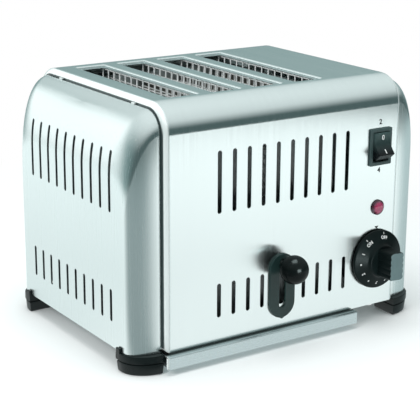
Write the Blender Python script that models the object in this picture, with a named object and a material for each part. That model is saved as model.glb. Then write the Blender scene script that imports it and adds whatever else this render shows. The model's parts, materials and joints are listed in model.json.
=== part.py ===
"""Four-slot lift toaster in brushed stainless steel, as separate sub-parts.

Metres, +Z up, front towards -Y. The body's own middle is at x = 0, y = 0 under the empty "toaster",
which is moved along Y so that the world origin lies under the middle of the whole outline.
"""

import math

import bmesh
import bpy
from mathutils import Matrix, Vector

# Whole body
body_depth = 0.210
body_height = 0.216
foot_height = 0.0165
sheet = 0.001
gap = 0.0003
overrun = 0.004
edge_round = 0.0008
pole_radius = 0.0006
smooth_angle_degrees = 40.0

# Wrap cover: front, top and back bent from one sheet
wrap_radius = 0.0235
wrap_flange = 0.012
wrap_fold = 0.014
wrap_steps = 8

# End caps
cap_reach = 0.0272
cap_step = 0.0055
cap_corner = 0.014
cap_crown = 0.055
cap_flange = 0.006
cap_softer_side = 0.010
cap_softer_top = 0.026
cap_steps = 6

# Vent slots: the drop is below the body's top, and the rise is above its lower edge
vent_width = 0.0036
vent_steps = 2
front_vent_count = 10
front_vent_inset = 0.050
front_vent_pitch = 0.0142
front_vent_drop = 0.0405
front_vent_length = 0.051
front_vent_rise = 0.021
front_vent_short_length = 0.0285
end_vent_count = 10
end_vent_margin = 0.0189
end_vent_drop = 0.038
end_vent_length = 0.0495
end_vent_rise = 0.0215
end_vent_short_length = 0.027

# Bread slots
slot_count = 4
slot_width = 0.028
slot_end_margin = 0.008
slot_middle_y = -0.001
slot_collar = 0.005

# Inner case around the bread slots
case_space = 0.021
case_inset = 0.0063
case_margin = 0.0078
case_headroom = 0.006
case_flange = 0.015
case_side_clearance = 0.0013

# Base plate and its opening over the crumb tray
base_corner = 0.0085
crumb_hole_edge = 0.006

# Feet
foot_reach = 0.0025
foot_inner_edge = 0.0007
foot_straight = 0.005
foot_taper = 0.0014
foot_band = 0.0092
foot_groove = 0.0006
foot_steps = 5
ear_length = 0.006
ear_drop = 0.004
ear_rise = 0.0035

# Screws
screw_radius = 0.002
screw_head_radius = 0.0041
screw_head = 0.0024
screw_head_chamfer = 0.0009
screw_slot = 0.0012
screw_slot_depth = 0.001
screw_sides = 10
foot_screw_margin_x = 0.0115
foot_screw_margin_y = 0.009
foot_screw_edge = 0.0047
foot_screw_seat = 0.0063
foot_screw_past = 0.0035
cover_screw_past = 0.0035

# Crumb tray and its rails
tray_sheet = 0.0008
tray_past_case = 0.0032
tray_behind = 0.009
tray_before = 0.007
tray_depth = 0.0096
tray_headroom = 0.0008
tray_lip_overhang = 0.0008
tray_lip_drop = 0.0006
tray_lip_gap = 0.0004
rail_short = 0.001
rail_ledge = 0.005
rail_flange = 0.006

# Lever plate, slot and ball knob
lever_inset = 0.112
plate_width = 0.0255
plate_rise = 0.0074
plate_foot = 0.0096
plate_head = 0.0041
plate_thickness = 0.0017
plate_tip = 0.0012
plate_tip_width = 0.0022
plate_steps = 8
plate_reveal = 0.003
lever_slot_width = 0.0062
lever_slot_head = 0.0019
lever_slot_foot = 0.0013
peg_radius = 0.0015
peg_sides = 10
knob_radius = 0.0122
knob_neck_radius = 0.0052
knob_neck_root = 0.0044
knob_neck = 0.0025
knob_stand = 0.0015
knob_sides = 20
knob_rings = 9

# Lift carriage
travel = 0.030
arm_clearance = 0.0009
arm_height = 0.0068
arm_into_knob = 0.010
bracket_width = 0.014
bracket_sheet = 0.002
bracket_foot = 0.0052
bracket_clearance = 0.0043
bar_depth = 0.010
bar_height = 0.008
bar_rise = 0.0288
bar_space = 0.003
bar_overhang = 0.006
rack_width = 0.004
finger_pitch = 0.022
finger_clearance = 0.004
finger_size = 0.003
rack_clearance = 0.0005
rod_radius = 0.0025
rod_sides = 14
rod_past_rack = 0.0103
spring_radius = 0.0035
spring_wire = 0.0006
spring_turns = 6
spring_points = 8

# Bread guards
guard_wire = 0.0015
guard_pitch = 0.0098
guard_post = 0.003
guard_drop = 0.008
guard_sill = 0.003

# Heating elements, each in the space between the guards of two slots
element_space = 0.0098
element_board = 0.0012
element_rise = 0.002
element_headroom = 0.004
ribbon_count = 5
ribbon_height = 0.006
ribbon_thickness = 0.0005

# Hold magnet
magnet_depth = 0.012

# Timer
timer_rise = 0.0419
timer_left_space = 0.0077
timer_right_space = 0.0022
dial_radius = 0.026
dial_rim = 0.0034
dial_stand = 0.0007
dial_cone = 0.0062
hub_radius = 0.0142
hub_step = 0.0012
hub_foot = 0.0024
grip_width = 0.0138
grip_height = 0.0245
grip_length = 0.0185
grip_corner = 0.0012
grip_scallop_count = 5
grip_scallop = 0.0007
grip_scallop_share = 0.3
dial_sides = 36
shaft_radius = 0.003
shaft_clearance = 0.0005
shaft_in_timer = 0.006
shaft_in_knob = 0.011
shaft_sides = 16
timer_size = 0.040
timer_depth = 0.028
timer_corner = 0.003

# Rocker switch
switch_rise = 0.0534
bezel_border = 0.0031
bezel_proud = 0.0020
bezel_corner = 0.0012
switch_wall = 0.0014
switch_body_depth = 0.018
rocker_width = 0.0165
rocker_half = 0.0093
rocker_end = 0.0106
rocker_valley = 0.0076
rocker_heel_half = 0.0122
rocker_heel = 0.0030
rocker_root = 0.0030
rocker_tilt_degrees = 19.5
rocker_pivot_depth = 0.0026

# Signal lamp
lamp_rise = 0.0459
lens_radius = 0.0068
lens_rim = 0.0012
lens_dome = 0.0022
lens_steps = 4
lamp_sides = 16
lamp_neck_radius = 0.0050
lamp_neck = 0.006
lamp_body_radius = 0.0046
lamp_body_length = 0.014

# Terminal block and cord gland
terminal_width = 0.030
terminal_depth = 0.018
terminal_height = 0.016
terminal_inset = 0.046
terminal_step = 0.005
terminal_count = 3
gland_rise = 0.0255
gland_radius = 0.006
gland_bore = 0.0036
gland_head_radius = 0.0085
gland_nut_radius = 0.0084
gland_nut = 0.004
gland_collar = 0.004
gland_nose = 0.006
gland_nose_radius = 0.0055
gland_inside = 0.008
gland_sides = 14

# Derived widths, from the slots, the elements between them and the controls beside them
slot_pitch = slot_width + 2 * guard_wire + element_space
case_width = slot_count * slot_pitch + 2 * case_margin
control_width = timer_left_space + timer_size + timer_right_space
half_wrap = (case_inset + case_width + control_width) / 2
seam_x = half_wrap + gap
half_width = seam_x + cap_reach
case_left = -half_wrap + case_inset
case_right = case_left + case_width
controls_x = half_wrap - timer_right_space - timer_size / 2
lever_x = -half_wrap + lever_inset
slot_first = case_left + case_margin + slot_pitch / 2
slot_centres = [slot_first + slot_pitch * i for i in range(slot_count)]
rod_left = slot_centres[0] - rod_past_rack
rod_right = slot_centres[-1] + rod_past_rack

# Derived depths
half_depth = body_depth / 2
inner_face = half_depth - sheet
cap_half_depth = half_depth - cap_step
case_half_depth = half_depth - case_space
slot_length = 2 * (case_half_depth - slot_end_margin)
base_notch = half_depth - wrap_fold - gap
bar_middle = inner_face - bar_space - bar_depth / 2
bracket_front = -bar_middle - bar_depth / 2 - gap
bracket_end = -case_half_depth - bracket_clearance

# Derived heights
base_bottom = foot_height + sheet + gap
base_top = base_bottom + sheet
case_floor = base_top + gap
collar_bottom = body_height - sheet - slot_collar
case_top = collar_bottom - case_headroom
cap_top = body_height - cap_step
cap_radius = wrap_radius - cap_step

# Derived feet, tray and rails
foot_screw_x = seam_x + foot_inner_edge + foot_screw_margin_x
foot_screw_y = base_notch - foot_screw_edge
foot_inner_x = foot_screw_x - foot_screw_margin_x
foot_inner_y = foot_screw_y - foot_screw_margin_y
foot_round = half_depth - foot_inner_y - foot_straight
tray_left = gap - foot_inner_x
tray_right = case_right + tray_past_case
tray_back = half_depth - tray_behind
tray_front = half_depth + tray_before
tray_top = foot_height - tray_headroom
tray_floor = tray_top - tray_depth
tray_lip_top = foot_height - gap
rail_half = foot_inner_y - rail_short

# Derived lever and carriage
arm_width = lever_slot_width - 2 * arm_clearance
plate_bottom = foot_height + plate_rise
plate_slot_bottom = plate_bottom + plate_foot
panel_slot_bottom = plate_slot_bottom + plate_reveal
knob_z = panel_slot_bottom + lever_slot_foot + travel + arm_height / 2
lever_slot_top = knob_z + arm_height / 2 + lever_slot_head
plate_top = lever_slot_top + plate_head
peg_offset = (plate_width + lever_slot_width) / 4
peg_z = (plate_bottom + plate_top) / 2
knob_root = half_depth + gap + plate_thickness + knob_stand
knob_y = knob_root + knob_neck + math.sqrt(knob_radius ** 2 - knob_neck_radius ** 2)
bracket_foot_z = knob_z - bracket_foot
bar_bottom = knob_z + bar_rise
bar_top = bar_bottom + bar_height
guard_bottom = bar_bottom - travel - guard_drop
element_bottom = guard_bottom + element_rise
element_top = case_top - element_headroom

# Derived controls, gland and the place of the whole outline
timer_z = foot_height + timer_rise
lamp_z = timer_z + lamp_rise
switch_z = lamp_z + switch_rise
gland_z = foot_height + gland_rise
grip_end = half_depth + dial_stand + dial_rim + dial_cone + grip_length
rocker_tilt = math.radians(rocker_tilt_degrees)
window_width = rocker_width + 2 * gap
window_half = math.hypot(rocker_heel_half, rocker_heel) + gap
window_depth = rocker_pivot_depth + math.sqrt(2) * rocker_root + gap
switch_body_width = window_width + 2 * switch_wall
switch_body_height = 2 * (window_half + switch_wall)
gland_reach = half_depth + gap + gland_collar + gland_nose
front_reach = max(grip_end, knob_y + knob_radius)
root_y = (front_reach - gland_reach) / 2

steel = ("steel", (0.78, 0.80, 0.80), 0.32, 1.0)
dark_steel = ("dark_steel", (0.46, 0.47, 0.47), 0.45, 1.0)
bright_steel = ("bright_steel", (0.86, 0.87, 0.87), 0.22, 1.0)
black_gloss = ("black_gloss", (0.012, 0.013, 0.013), 0.18, 0.0)
black_satin = ("black_satin", (0.030, 0.033, 0.033), 0.42, 0.0)
black_rubber = ("black_rubber", (0.020, 0.021, 0.021), 0.62, 0.0)
mica = ("mica", (0.62, 0.55, 0.43), 0.55, 0.0)
lamp_red = ("lamp_red", (0.62, 0.03, 0.16), 0.20, 0.0)
white_plastic = ("white_plastic", (0.78, 0.77, 0.72), 0.45, 0.0)


def clear_scene():
    for obj in list(bpy.data.objects):
        bpy.data.objects.remove(obj, do_unlink=True)


def material(look):
    name, colour, roughness, metallic = look
    made = bpy.data.materials.get(name)
    if made is None:
        made = bpy.data.materials.new(name)
        made.use_nodes = True
        shader = made.node_tree.nodes["Principled BSDF"]
        shader.inputs["Base Color"].default_value = (*colour, 1.0)
        shader.inputs["Roughness"].default_value = roughness
        shader.inputs["Metallic"].default_value = metallic
        made.diffuse_color = (*colour, 1.0)
    return made


def empty(name, location, parent=None):
    obj = bpy.data.objects.new(name, None)
    obj.location = location
    obj.parent = parent
    bpy.context.scene.collection.objects.link(obj)
    return obj


def add(name, mesh, look, axis=None, smooth=False):
    """Links a mesh that is written in body coordinates. With axis, its origin goes to that empty."""
    origin = axis.location if axis else Vector()
    mesh.transform(Matrix.Translation(-origin))
    mesh.materials.append(material(look))
    if smooth:
        mesh.shade_smooth()
        mesh.set_sharp_from_angle(angle=math.radians(smooth_angle_degrees))
    obj = bpy.data.objects.new(name, mesh)
    obj.parent = axis or root
    bpy.context.scene.collection.objects.link(obj)
    return obj


def mesh_of(points, faces):
    """A closed mesh with its faces turned outwards."""
    made = bmesh.new()
    corners = [made.verts.new(point) for point in points]
    for face in faces:
        made.faces.new([corners[i] for i in face])
    bmesh.ops.recalc_face_normals(made, faces=made.faces)
    mesh = bpy.data.meshes.new("mesh")
    made.to_mesh(mesh)
    made.free()
    return mesh


def merged(meshes):
    """Several closed meshes in one, for a cutter."""
    made = bmesh.new()
    for mesh in meshes:
        made.from_mesh(mesh)
    mesh = bpy.data.meshes.new("mesh")
    made.to_mesh(mesh)
    made.free()
    return mesh


def loft(rings):
    """Closed rings of equally many points, joined in order and capped at both ends."""
    count = len(rings[0])
    points = [point for ring in rings for point in ring]
    faces = [list(range(count)), list(range(len(points) - count, len(points)))]
    for r in range(len(rings) - 1):
        for i in range(count):
            j = (i + 1) % count
            faces.append([r * count + i, r * count + j, (r + 1) * count + j, (r + 1) * count + i])
    return mesh_of(points, faces)


def along(axis, u, v, w):
    """A point from an outline's (u, v) and its place w along the axis."""
    return {"X": (w, u, v), "Y": (u, w, v), "Z": (u, v, w)}[axis]


def prism(outline, axis, start, end):
    return loft([[along(axis, u, v, w) for u, v in outline] for w in (start, end)])


def box(low, high):
    outline = [(low[0], low[1]), (high[0], low[1]), (high[0], high[1]), (low[0], high[1])]
    return prism(outline, "Z", low[2], high[2])


def circle(radius, sides, u=0.0, v=0.0):
    turns = [2 * math.pi * (i + 0.5) / sides for i in range(sides)]
    return [(u + radius * math.cos(t), v + radius * math.sin(t)) for t in turns]


def turned(profile, sides, axis, u, v):
    """A solid of revolution: profile holds (radius, place along the axis), every radius over zero."""
    rings = []
    for radius, w in profile:
        rings.append([along(axis, a, b, w) for a, b in circle(radius, sides, u, v)])
    return loft(rings)


def stadium(width, bottom, top, u, steps):
    """An upright slot outline with half-round ends."""
    radius = width / 2
    outline = []
    for centre, first in ((top - radius, 0.0), (bottom + radius, math.pi)):
        for i in range(steps + 1):
            turn = first + math.pi * i / steps
            outline.append((u + radius * math.cos(turn), centre + radius * math.sin(turn)))
    return outline


def rounded(width, height, corner, u, v, steps=3):
    """A rectangle outline with round corners, about (u, v)."""
    outline = []
    for i, (side, end) in enumerate(((1, 1), (-1, 1), (-1, -1), (1, -1))):
        for step in range(steps + 1):
            turn = math.pi / 2 * (i + step / steps)
            outline.append((
                u + side * (width / 2 - corner) + corner * math.cos(turn),
                v + end * (height / 2 - corner) + corner * math.sin(turn),
            ))
    return outline


def grid_plate(us, vs, holes, axis, start, end):
    """A flat plate over the lines us and vs; holes says which cells (i, j) are left out."""
    solid = {
        (i, j) for i in range(len(us) - 1) for j in range(len(vs) - 1) if (i, j) not in holes
    }
    index = {}
    points = []

    def corner(i, j, side):
        key = (i, j, side)
        if key not in index:
            index[key] = len(points)
            points.append(along(axis, us[i], vs[j], (start, end)[side]))
        return index[key]

    faces = []
    for i, j in sorted(solid):
        around = [(i, j), (i + 1, j), (i + 1, j + 1), (i, j + 1)]
        for side in (0, 1):
            faces.append([corner(a, b, side) for a, b in around])
        beside = [(i, j - 1), (i + 1, j), (i, j + 1), (i - 1, j)]
        for k, cell in enumerate(beside):
            if cell not in solid:
                a, b = around[k], around[(k + 1) % 4]
                faces.append([corner(*a, 0), corner(*b, 0), corner(*b, 1), corner(*a, 1)])
    return mesh_of(points, faces)


def change(obj, operation, meshes):
    """Cuts the meshes, written in body coordinates, out of obj, or joins them to it."""
    tool = bpy.data.objects.new(obj.name + "_" + operation.lower(), merged(meshes))
    tool.parent = root
    tool.hide_render = True
    tool.display_type = "WIRE"
    bpy.context.scene.collection.objects.link(tool)
    modifier = obj.modifiers.new(operation.lower(), "BOOLEAN")
    modifier.operation = operation
    modifier.solver = "EXACT"
    modifier.object = tool


def cut(obj, *meshes):
    change(obj, "DIFFERENCE", meshes)


def join(obj, *meshes):
    """One union for each mesh, so that pieces that meet each other may also overlap."""
    for mesh in meshes:
        change(obj, "UNION", [mesh])


def quarter(radius_u, radius_v, steps, first):
    """Offsets along a quarter ellipse, from the angle first on."""
    turns = [first + math.pi / 2 * i / steps for i in range(steps + 1)]
    return [(radius_u * math.cos(t), radius_v * math.sin(t)) for t in turns]


def wrap_path():
    """(y, z) points and inward directions along the wrap, from the front fold to the back fold."""
    path = [(-half_depth + wrap_fold, foot_height, 0.0, 1.0), (-half_depth, foot_height, 1.0, 1.0)]
    centre_z = body_height - wrap_radius
    for side, first in ((-1, math.pi), (1, math.pi / 2)):
        centre_y = side * (half_depth - wrap_radius)
        for i in range(wrap_steps + 1):
            turn = first - math.pi / 2 * i / wrap_steps
            y, z = math.cos(turn), math.sin(turn)
            path.append((centre_y + wrap_radius * y, centre_z + wrap_radius * z, -y, -z))
    path.append((half_depth, foot_height, -1.0, 1.0))
    path.append((half_depth - wrap_fold, foot_height, 0.0, 1.0))
    return path


def wrap_section():
    """(x, depth below the outer face) of the sheet and its two return flanges."""
    right = [
        (half_wrap - edge_round, 0.0),
        (half_wrap, edge_round),
        (half_wrap, wrap_flange),
        (half_wrap - sheet, wrap_flange),
        (half_wrap - sheet, sheet),
    ]
    return right + [(-x, depth) for x, depth in reversed(right)]


def vent_prisms(axis, places, bottom, length, outer, depth):
    """The vent cutters of one row on one face, from beyond the face to the depth inside it."""
    side = math.copysign(1, outer)
    made = []
    for place in places:
        outline = stadium(vent_width, bottom, bottom + length, place, vent_steps)
        made.append(prism(outline, axis, outer + side * overrun, outer - side * depth))
    return made


def make_wrap():
    rings = []
    for y, z, inward_y, inward_z in wrap_path():
        rings.append([(x, y + inward_y * d, z + inward_z * d) for x, d in wrap_section()])
    wrap = add("wrap_cover", loft(rings), steel, smooth=True)
    collars, mouths = [], []
    for x in slot_centres:
        low_y = slot_middle_y - slot_length / 2
        high_y = slot_middle_y + slot_length / 2
        collars.append(box(
            (x - slot_width / 2 - sheet, low_y - sheet, collar_bottom),
            (x + slot_width / 2 + sheet, high_y + sheet, body_height - sheet / 2),
        ))
        mouths.append(box(
            (x - slot_width / 2, low_y, collar_bottom - overrun),
            (x + slot_width / 2, high_y, body_height + overrun),
        ))
    change(wrap, "UNION", collars)
    cut(wrap, *mouths)
    first = -half_wrap + front_vent_inset
    places = [first + front_vent_pitch * i for i in range(front_vent_count)]
    beside_lever = [x for x in places if abs(x - lever_x) > plate_width / 2]
    upper = body_height - front_vent_drop - front_vent_length
    lower = foot_height + front_vent_rise
    cut(wrap, *vent_prisms("Y", places, upper, front_vent_length, -half_depth, overrun))
    cut(wrap, *vent_prisms("Y", beside_lever, lower, front_vent_short_length, -half_depth, overrun))
    cut(wrap, *vent_prisms("Y", places, upper, front_vent_length, half_depth, overrun))
    near, far = -half_depth - overrun, -half_depth + overrun
    lever_slot = stadium(lever_slot_width, panel_slot_bottom, lever_slot_top, lever_x, plate_steps)
    holes = [prism(lever_slot, "Y", near, far)]
    for side in (-1, 1):
        peg = circle(peg_radius + gap, peg_sides, lever_x + side * peg_offset, peg_z)
        holes.append(prism(peg, "Y", near, far))
    shaft = circle(shaft_radius + shaft_clearance, shaft_sides, controls_x, timer_z)
    holes.append(prism(shaft, "Y", near, far))
    lamp = circle(lamp_neck_radius + gap, lamp_sides, controls_x, lamp_z)
    holes.append(prism(lamp, "Y", near, far))
    holes.append(box(
        (controls_x - switch_body_width / 2 - gap, near, switch_z - switch_body_height / 2 - gap),
        (controls_x + switch_body_width / 2 + gap, far, switch_z + switch_body_height / 2 + gap),
    ))
    gland = circle(gland_radius + gap, gland_sides, controls_x, gland_z)
    holes.append(prism(gland, "Y", half_depth - overrun, half_depth + overrun))
    for x, y in cover_screw_places():
        hole = circle(screw_radius + gap, screw_sides, x, y)
        holes.append(prism(hole, "Z", foot_height - overrun, foot_height + sheet + gap / 2))
    cut(wrap, *holes)


def cap_ring(turn, inset=0.0):
    """(distance past the seam, y, z) points of the cap's surface at one angle from seam to face."""
    fall = 1 - math.cos(turn)
    half_y = cap_half_depth - cap_corner * fall - inset
    top = cap_top - cap_crown * fall - inset
    radius_y = cap_radius + cap_softer_side * fall - inset
    radius_z = cap_radius + cap_softer_top * fall - inset
    out = cap_reach * math.sin(turn)
    ring = [(out, -half_y, foot_height)]
    for side, first in ((-1, math.pi), (1, math.pi / 2)):
        for i in range(cap_steps + 1):
            t = first - math.pi / 2 * i / cap_steps
            y = side * (half_y - radius_y) + radius_y * math.cos(t)
            ring.append((out, y, top - radius_z + radius_z * math.sin(t)))
    ring.append((out, half_y, foot_height))
    return ring


def make_cap(name, side):
    rings = [cap_ring(0.0, cap_flange)]
    rings += [cap_ring(math.pi / 2 * i / cap_steps) for i in range(cap_steps + 1)]
    points = [(side * (seam_x + x), y, z) for ring in rings for x, y, z in ring]
    count = len(rings[0])
    faces = [list(range(len(points) - count, len(points)))]
    for r in range(len(rings) - 1):
        for i in range(count - 1):
            j = r * count + i
            faces.append([j, j + 1, j + 1 + count, j + count])
    made = bmesh.new()
    corners = [made.verts.new(point) for point in points]
    for face in faces:
        made.faces.new([corners[i] for i in face])
    bmesh.ops.recalc_face_normals(made, faces=made.faces)
    made.faces.ensure_lookup_table()
    if made.faces[0].normal.x * side < 0:
        bmesh.ops.reverse_faces(made, faces=made.faces)
    mesh = bpy.data.meshes.new("mesh")
    made.to_mesh(mesh)
    made.free()
    cap = add(name, mesh, steel, smooth=True)
    shell = cap.modifiers.new("sheet", "SOLIDIFY")
    shell.thickness = sheet
    shell.offset = -1.0
    shell.use_even_offset = True
    last = cap_half_depth - cap_corner - end_vent_margin
    pitch = 2 * last / (end_vent_count - 1)
    places = [-last + pitch * i for i in range(end_vent_count)]
    upper = body_height - end_vent_drop - end_vent_length
    lower = foot_height + end_vent_rise
    face, depth = side * half_width, cap_reach / 2
    cut(cap, *vent_prisms("X", places, upper, end_vent_length, face, depth))
    cut(cap, *vent_prisms("X", places, lower, end_vent_short_length, face, depth))


def cover_screw_places():
    return [(controls_x, side * (half_depth - wrap_fold / 2)) for side in (-1, 1)]


def foot_screw_places():
    return [
        (name, x * foot_screw_x, y * foot_screw_y)
        for name, x, y in (
            ("front_left", -1, -1), ("front_right", 1, -1), ("rear_left", -1, 1), ("rear_right", 1, 1)
        )
    ]


def make_base():
    inner_x = half_wrap - sheet - gap
    outer_x = half_width - sheet - gap
    far_y = inner_face - gap
    corner_y = base_notch - base_corner
    quarter_points = [
        (inner_x, far_y), (inner_x, base_notch), (outer_x - base_corner, base_notch), (outer_x, corner_y),
    ]
    outline = list(quarter_points)
    outline += [(x, -y) for x, y in reversed(quarter_points)]
    outline += [(-x, -y) for x, y in quarter_points]
    outline += [(-x, y) for x, y in reversed(quarter_points)]
    base = add("base_plate", prism(outline, "Z", base_bottom, base_top), dark_steel)
    low, high = base_bottom - overrun, base_top + overrun
    holes = [box(
        (case_left + crumb_hole_edge, crumb_hole_edge - case_half_depth, low),
        (case_right - crumb_hole_edge, case_half_depth - crumb_hole_edge, high),
    )]
    places = [(x, y) for _, x, y in foot_screw_places()] + cover_screw_places()
    for x, y in places:
        holes.append(prism(circle(screw_radius + gap, screw_sides, x, y), "Z", low, high))
    cut(base, *holes)


def foot_outline(side_x, side_y, inset):
    """The foot's plan: two straight inner sides and a quarter ellipse outside."""
    reach = half_width + foot_reach - foot_inner_x
    points = [(foot_inner_x + inset, foot_inner_y + inset)]
    points.append((foot_inner_x + reach - inset, foot_inner_y + inset))
    for u, v in quarter(reach - inset, foot_round - inset, foot_steps, 0.0):
        points.append((foot_inner_x + u, half_depth - foot_round + v))
    points[-1] = (foot_inner_x + inset, half_depth - inset)
    return [(side_x * x, side_y * y) for x, y in points]


def plug_outline(side_x, side_y):
    """What of the foot rises inside the end cap's wall."""
    clear = sheet + gap
    low_x = seam_x + sheet + gap
    low_y = foot_inner_y
    points = [(low_x, low_y), (half_width - clear, low_y)]
    for u, v in quarter(cap_reach - clear, cap_corner - clear, foot_steps, 0.0):
        points.append((seam_x + u, cap_half_depth - cap_corner + v))
    points = [(x, min(y, cap_half_depth - cap_flange - gap)) for x, y in points if x >= low_x]
    points.append((low_x, points[-1][1]))
    kept = []
    for point in points:
        if not kept or math.dist(point, kept[-1]) > gap:
            kept.append(point)
    return [(side_x * x, side_y * y) for x, y in kept]


def make_feet():
    shoulder = foot_height - gap
    for name, x, y in foot_screw_places():
        side_x, side_y = math.copysign(1, x), math.copysign(1, y)
        rings = []
        for z, inset in (
            (0.0, foot_taper + foot_groove),
            (foot_groove, foot_taper),
            (foot_band - foot_groove, foot_taper / 2),
            (foot_band, foot_taper),
            (foot_band + foot_groove, foot_taper),
            (foot_band + foot_groove, 0.0),
            (shoulder, 0.0),
        ):
            rings.append([(u, v, z) for u, v in foot_outline(side_x, side_y, inset)])
        foot = add(f"{name}_foot", loft(rings), black_rubber, smooth=True)
        plug = prism(plug_outline(side_x, side_y), "Z", shoulder - overrun, base_bottom - gap)
        ends_x = sorted((side_x * (half_width + gap), side_x * (half_width + foot_reach)))
        ends_y = sorted((side_y * foot_inner_y, side_y * (foot_inner_y + ear_length)))
        ear = box(
            (ends_x[0], ends_y[0], shoulder - ear_drop), (ends_x[1], ends_y[1], foot_height + ear_rise)
        )
        join(foot, plug, ear)
        cut(
            foot,
            prism(circle(screw_radius + gap, screw_sides, x, y), "Z", -overrun, foot_height + overrun),
        )
        cut(
            foot,
            prism(circle(screw_head_radius + gap, screw_sides, x, y), "Z", -overrun, foot_screw_seat),
        )


def screw(name, x, y, seat, past):
    """A pan-head screw that points up, its head under the height seat, its end past the base plate."""
    bottom = seat - gap - screw_head
    profile = [
        (screw_head_radius - screw_head_chamfer, bottom),
        (screw_head_radius, bottom + screw_head_chamfer),
        (screw_head_radius, seat - gap),
        (screw_radius, seat - gap),
        (screw_radius, base_top + past),
    ]
    made = add(name, turned(profile, screw_sides, "Z", x, y), bright_steel, smooth=True)
    cut(made, box(
        (x - screw_head_radius, y - screw_slot / 2, bottom - overrun),
        (x + screw_head_radius, y + screw_slot / 2, bottom + screw_slot_depth),
    ))


def make_screws():
    for name, x, y in foot_screw_places():
        screw(f"{name}_foot_screw", x, y, foot_screw_seat, foot_screw_past)
    for name, (x, y) in zip(("front", "rear"), cover_screw_places()):
        screw(f"{name}_cover_screw", x, y, foot_height, cover_screw_past)


def make_tray():
    """A folded pan whose front lip stands before the panel."""
    axis = empty("tray_axis", (0, -tray_front, tray_floor), root)
    front = -tray_front
    left, right = tray_left - tray_lip_overhang, tray_right + tray_lip_overhang
    tray = add(
        "crumb_tray",
        box((tray_left, front + tray_sheet / 2, tray_floor), (tray_right, tray_back, tray_top)),
        bright_steel,
        axis,
    )
    cut(tray, box(
        (tray_left + tray_sheet, front - overrun, tray_floor + tray_sheet),
        (tray_right - tray_sheet, tray_back - tray_sheet, tray_top + overrun),
    ))
    lip_bottom = tray_floor - tray_lip_drop
    join(
        tray,
        box((left, front, lip_bottom), (right, front + tray_sheet, tray_lip_top)),
        box(
            (left, front, tray_lip_top - tray_sheet), (right, -half_depth - tray_lip_gap, tray_lip_top)
        ),
    )


def make_rails():
    """Z-shaped rails that hang from the base plate and carry the tray's edges."""
    top = base_bottom - gap
    ledge_top = tray_floor - gap
    for name, edge, out in (("left", tray_left, -1), ("right", tray_right, 1)):
        web = edge + out * gap
        outline = [
            (web - out * rail_ledge, ledge_top - sheet),
            (web + out * sheet, ledge_top - sheet),
            (web + out * sheet, top - sheet),
            (web + out * (sheet + rail_flange), top - sheet),
            (web + out * (sheet + rail_flange), top),
            (web, top),
            (web, ledge_top),
            (web - out * rail_ledge, ledge_top),
        ]
        add(f"{name}_tray_rail", prism(outline, "Y", -rail_half, rail_half), dark_steel)


def make_case():
    """Front and rear C-shaped plates and two side plates around the bread slots."""
    left, right = case_left + sheet + gap, case_right - sheet - gap
    slot_bottom = bar_bottom - travel - rack_clearance
    slot_top = bar_top + rack_clearance
    us = [left]
    for x in slot_centres:
        us += [x - rack_width / 2 - rack_clearance, x + rack_width / 2 + rack_clearance]
    us.append(right)
    vs = [case_floor, slot_bottom, slot_top, case_top]
    holes = {(2 * i + 1, 1) for i in range(slot_count)}
    for name, side in (("front", -1), ("rear", 1)):
        outer = side * case_half_depth
        web = grid_plate(us, vs, holes, "Y", outer, outer - side * sheet)
        plate = add(f"{name}_case_plate", web, dark_steel)
        ends = sorted((outer - side * sheet, outer + side * case_flange))
        join(
            plate,
            box((left, ends[0], case_floor), (right, ends[1], case_floor + sheet)),
            box((left, ends[0], case_top - sheet), (right, ends[1], case_top)),
        )
    half = base_notch - gap
    for name, edge, out in (("left_heat_shield", case_left, -1), ("control_divider", case_right, 1)):
        flange = edge + out * (case_inset - sheet - case_side_clearance)
        outline = [
            (flange, case_floor), (flange, case_floor + sheet), (edge, case_floor + sheet),
            (edge, case_top), (edge - out * sheet, case_top), (edge - out * sheet, case_floor),
        ]
        add(name, prism(outline, "Y", -half, half), dark_steel)


def make_guards():
    """Two upright wire grids beside each bread slot, hanging under the slot's collar."""
    end = case_half_depth - sheet - gap
    top = collar_bottom - gap
    windows = int((2 * end - 2 * guard_post + guard_wire) / guard_pitch)
    margin = (2 * end - guard_pitch * windows + guard_wire) / 2
    us = [-end]
    for i in range(windows):
        start = -end + margin + guard_pitch * i
        us += [start, start + guard_pitch - guard_wire]
    us.append(end)
    vs = [guard_bottom, guard_bottom + guard_sill, top - guard_wire, top]
    holes = {(2 * i + 1, 1) for i in range(windows)}
    for i, x in enumerate(slot_centres):
        for name, side in (("left", -1), ("right", 1)):
            inner = x + side * slot_width / 2
            mesh = grid_plate(us, vs, holes, "X", inner, inner + side * guard_wire)
            add(f"bread_guard_{i + 1}_{name}", mesh, bright_steel)


def make_elements():
    """Mica boards with flat heating ribbon on both faces, one on each side of every slot."""
    end = case_half_depth - sheet - gap
    pitch = (element_top - element_bottom) / ribbon_count
    for i in range(slot_count + 1):
        x = slot_first - slot_pitch / 2 + slot_pitch * i
        right = [(element_board / 2, element_bottom)]
        for k in range(ribbon_count):
            low = element_bottom + pitch * (k + 0.5) - ribbon_height / 2
            for z in (low, low + ribbon_height):
                pair = [(element_board / 2, z), (element_board / 2 + ribbon_thickness, z)]
                right += pair if z == low else pair[::-1]
        right.append((element_board / 2, element_top))
        outline = [(x + u, z) for u, z in right] + [(x - u, z) for u, z in reversed(right)]
        add(f"heating_element_{i + 1}", prism(outline, "Y", -end, end), mica)


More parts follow.
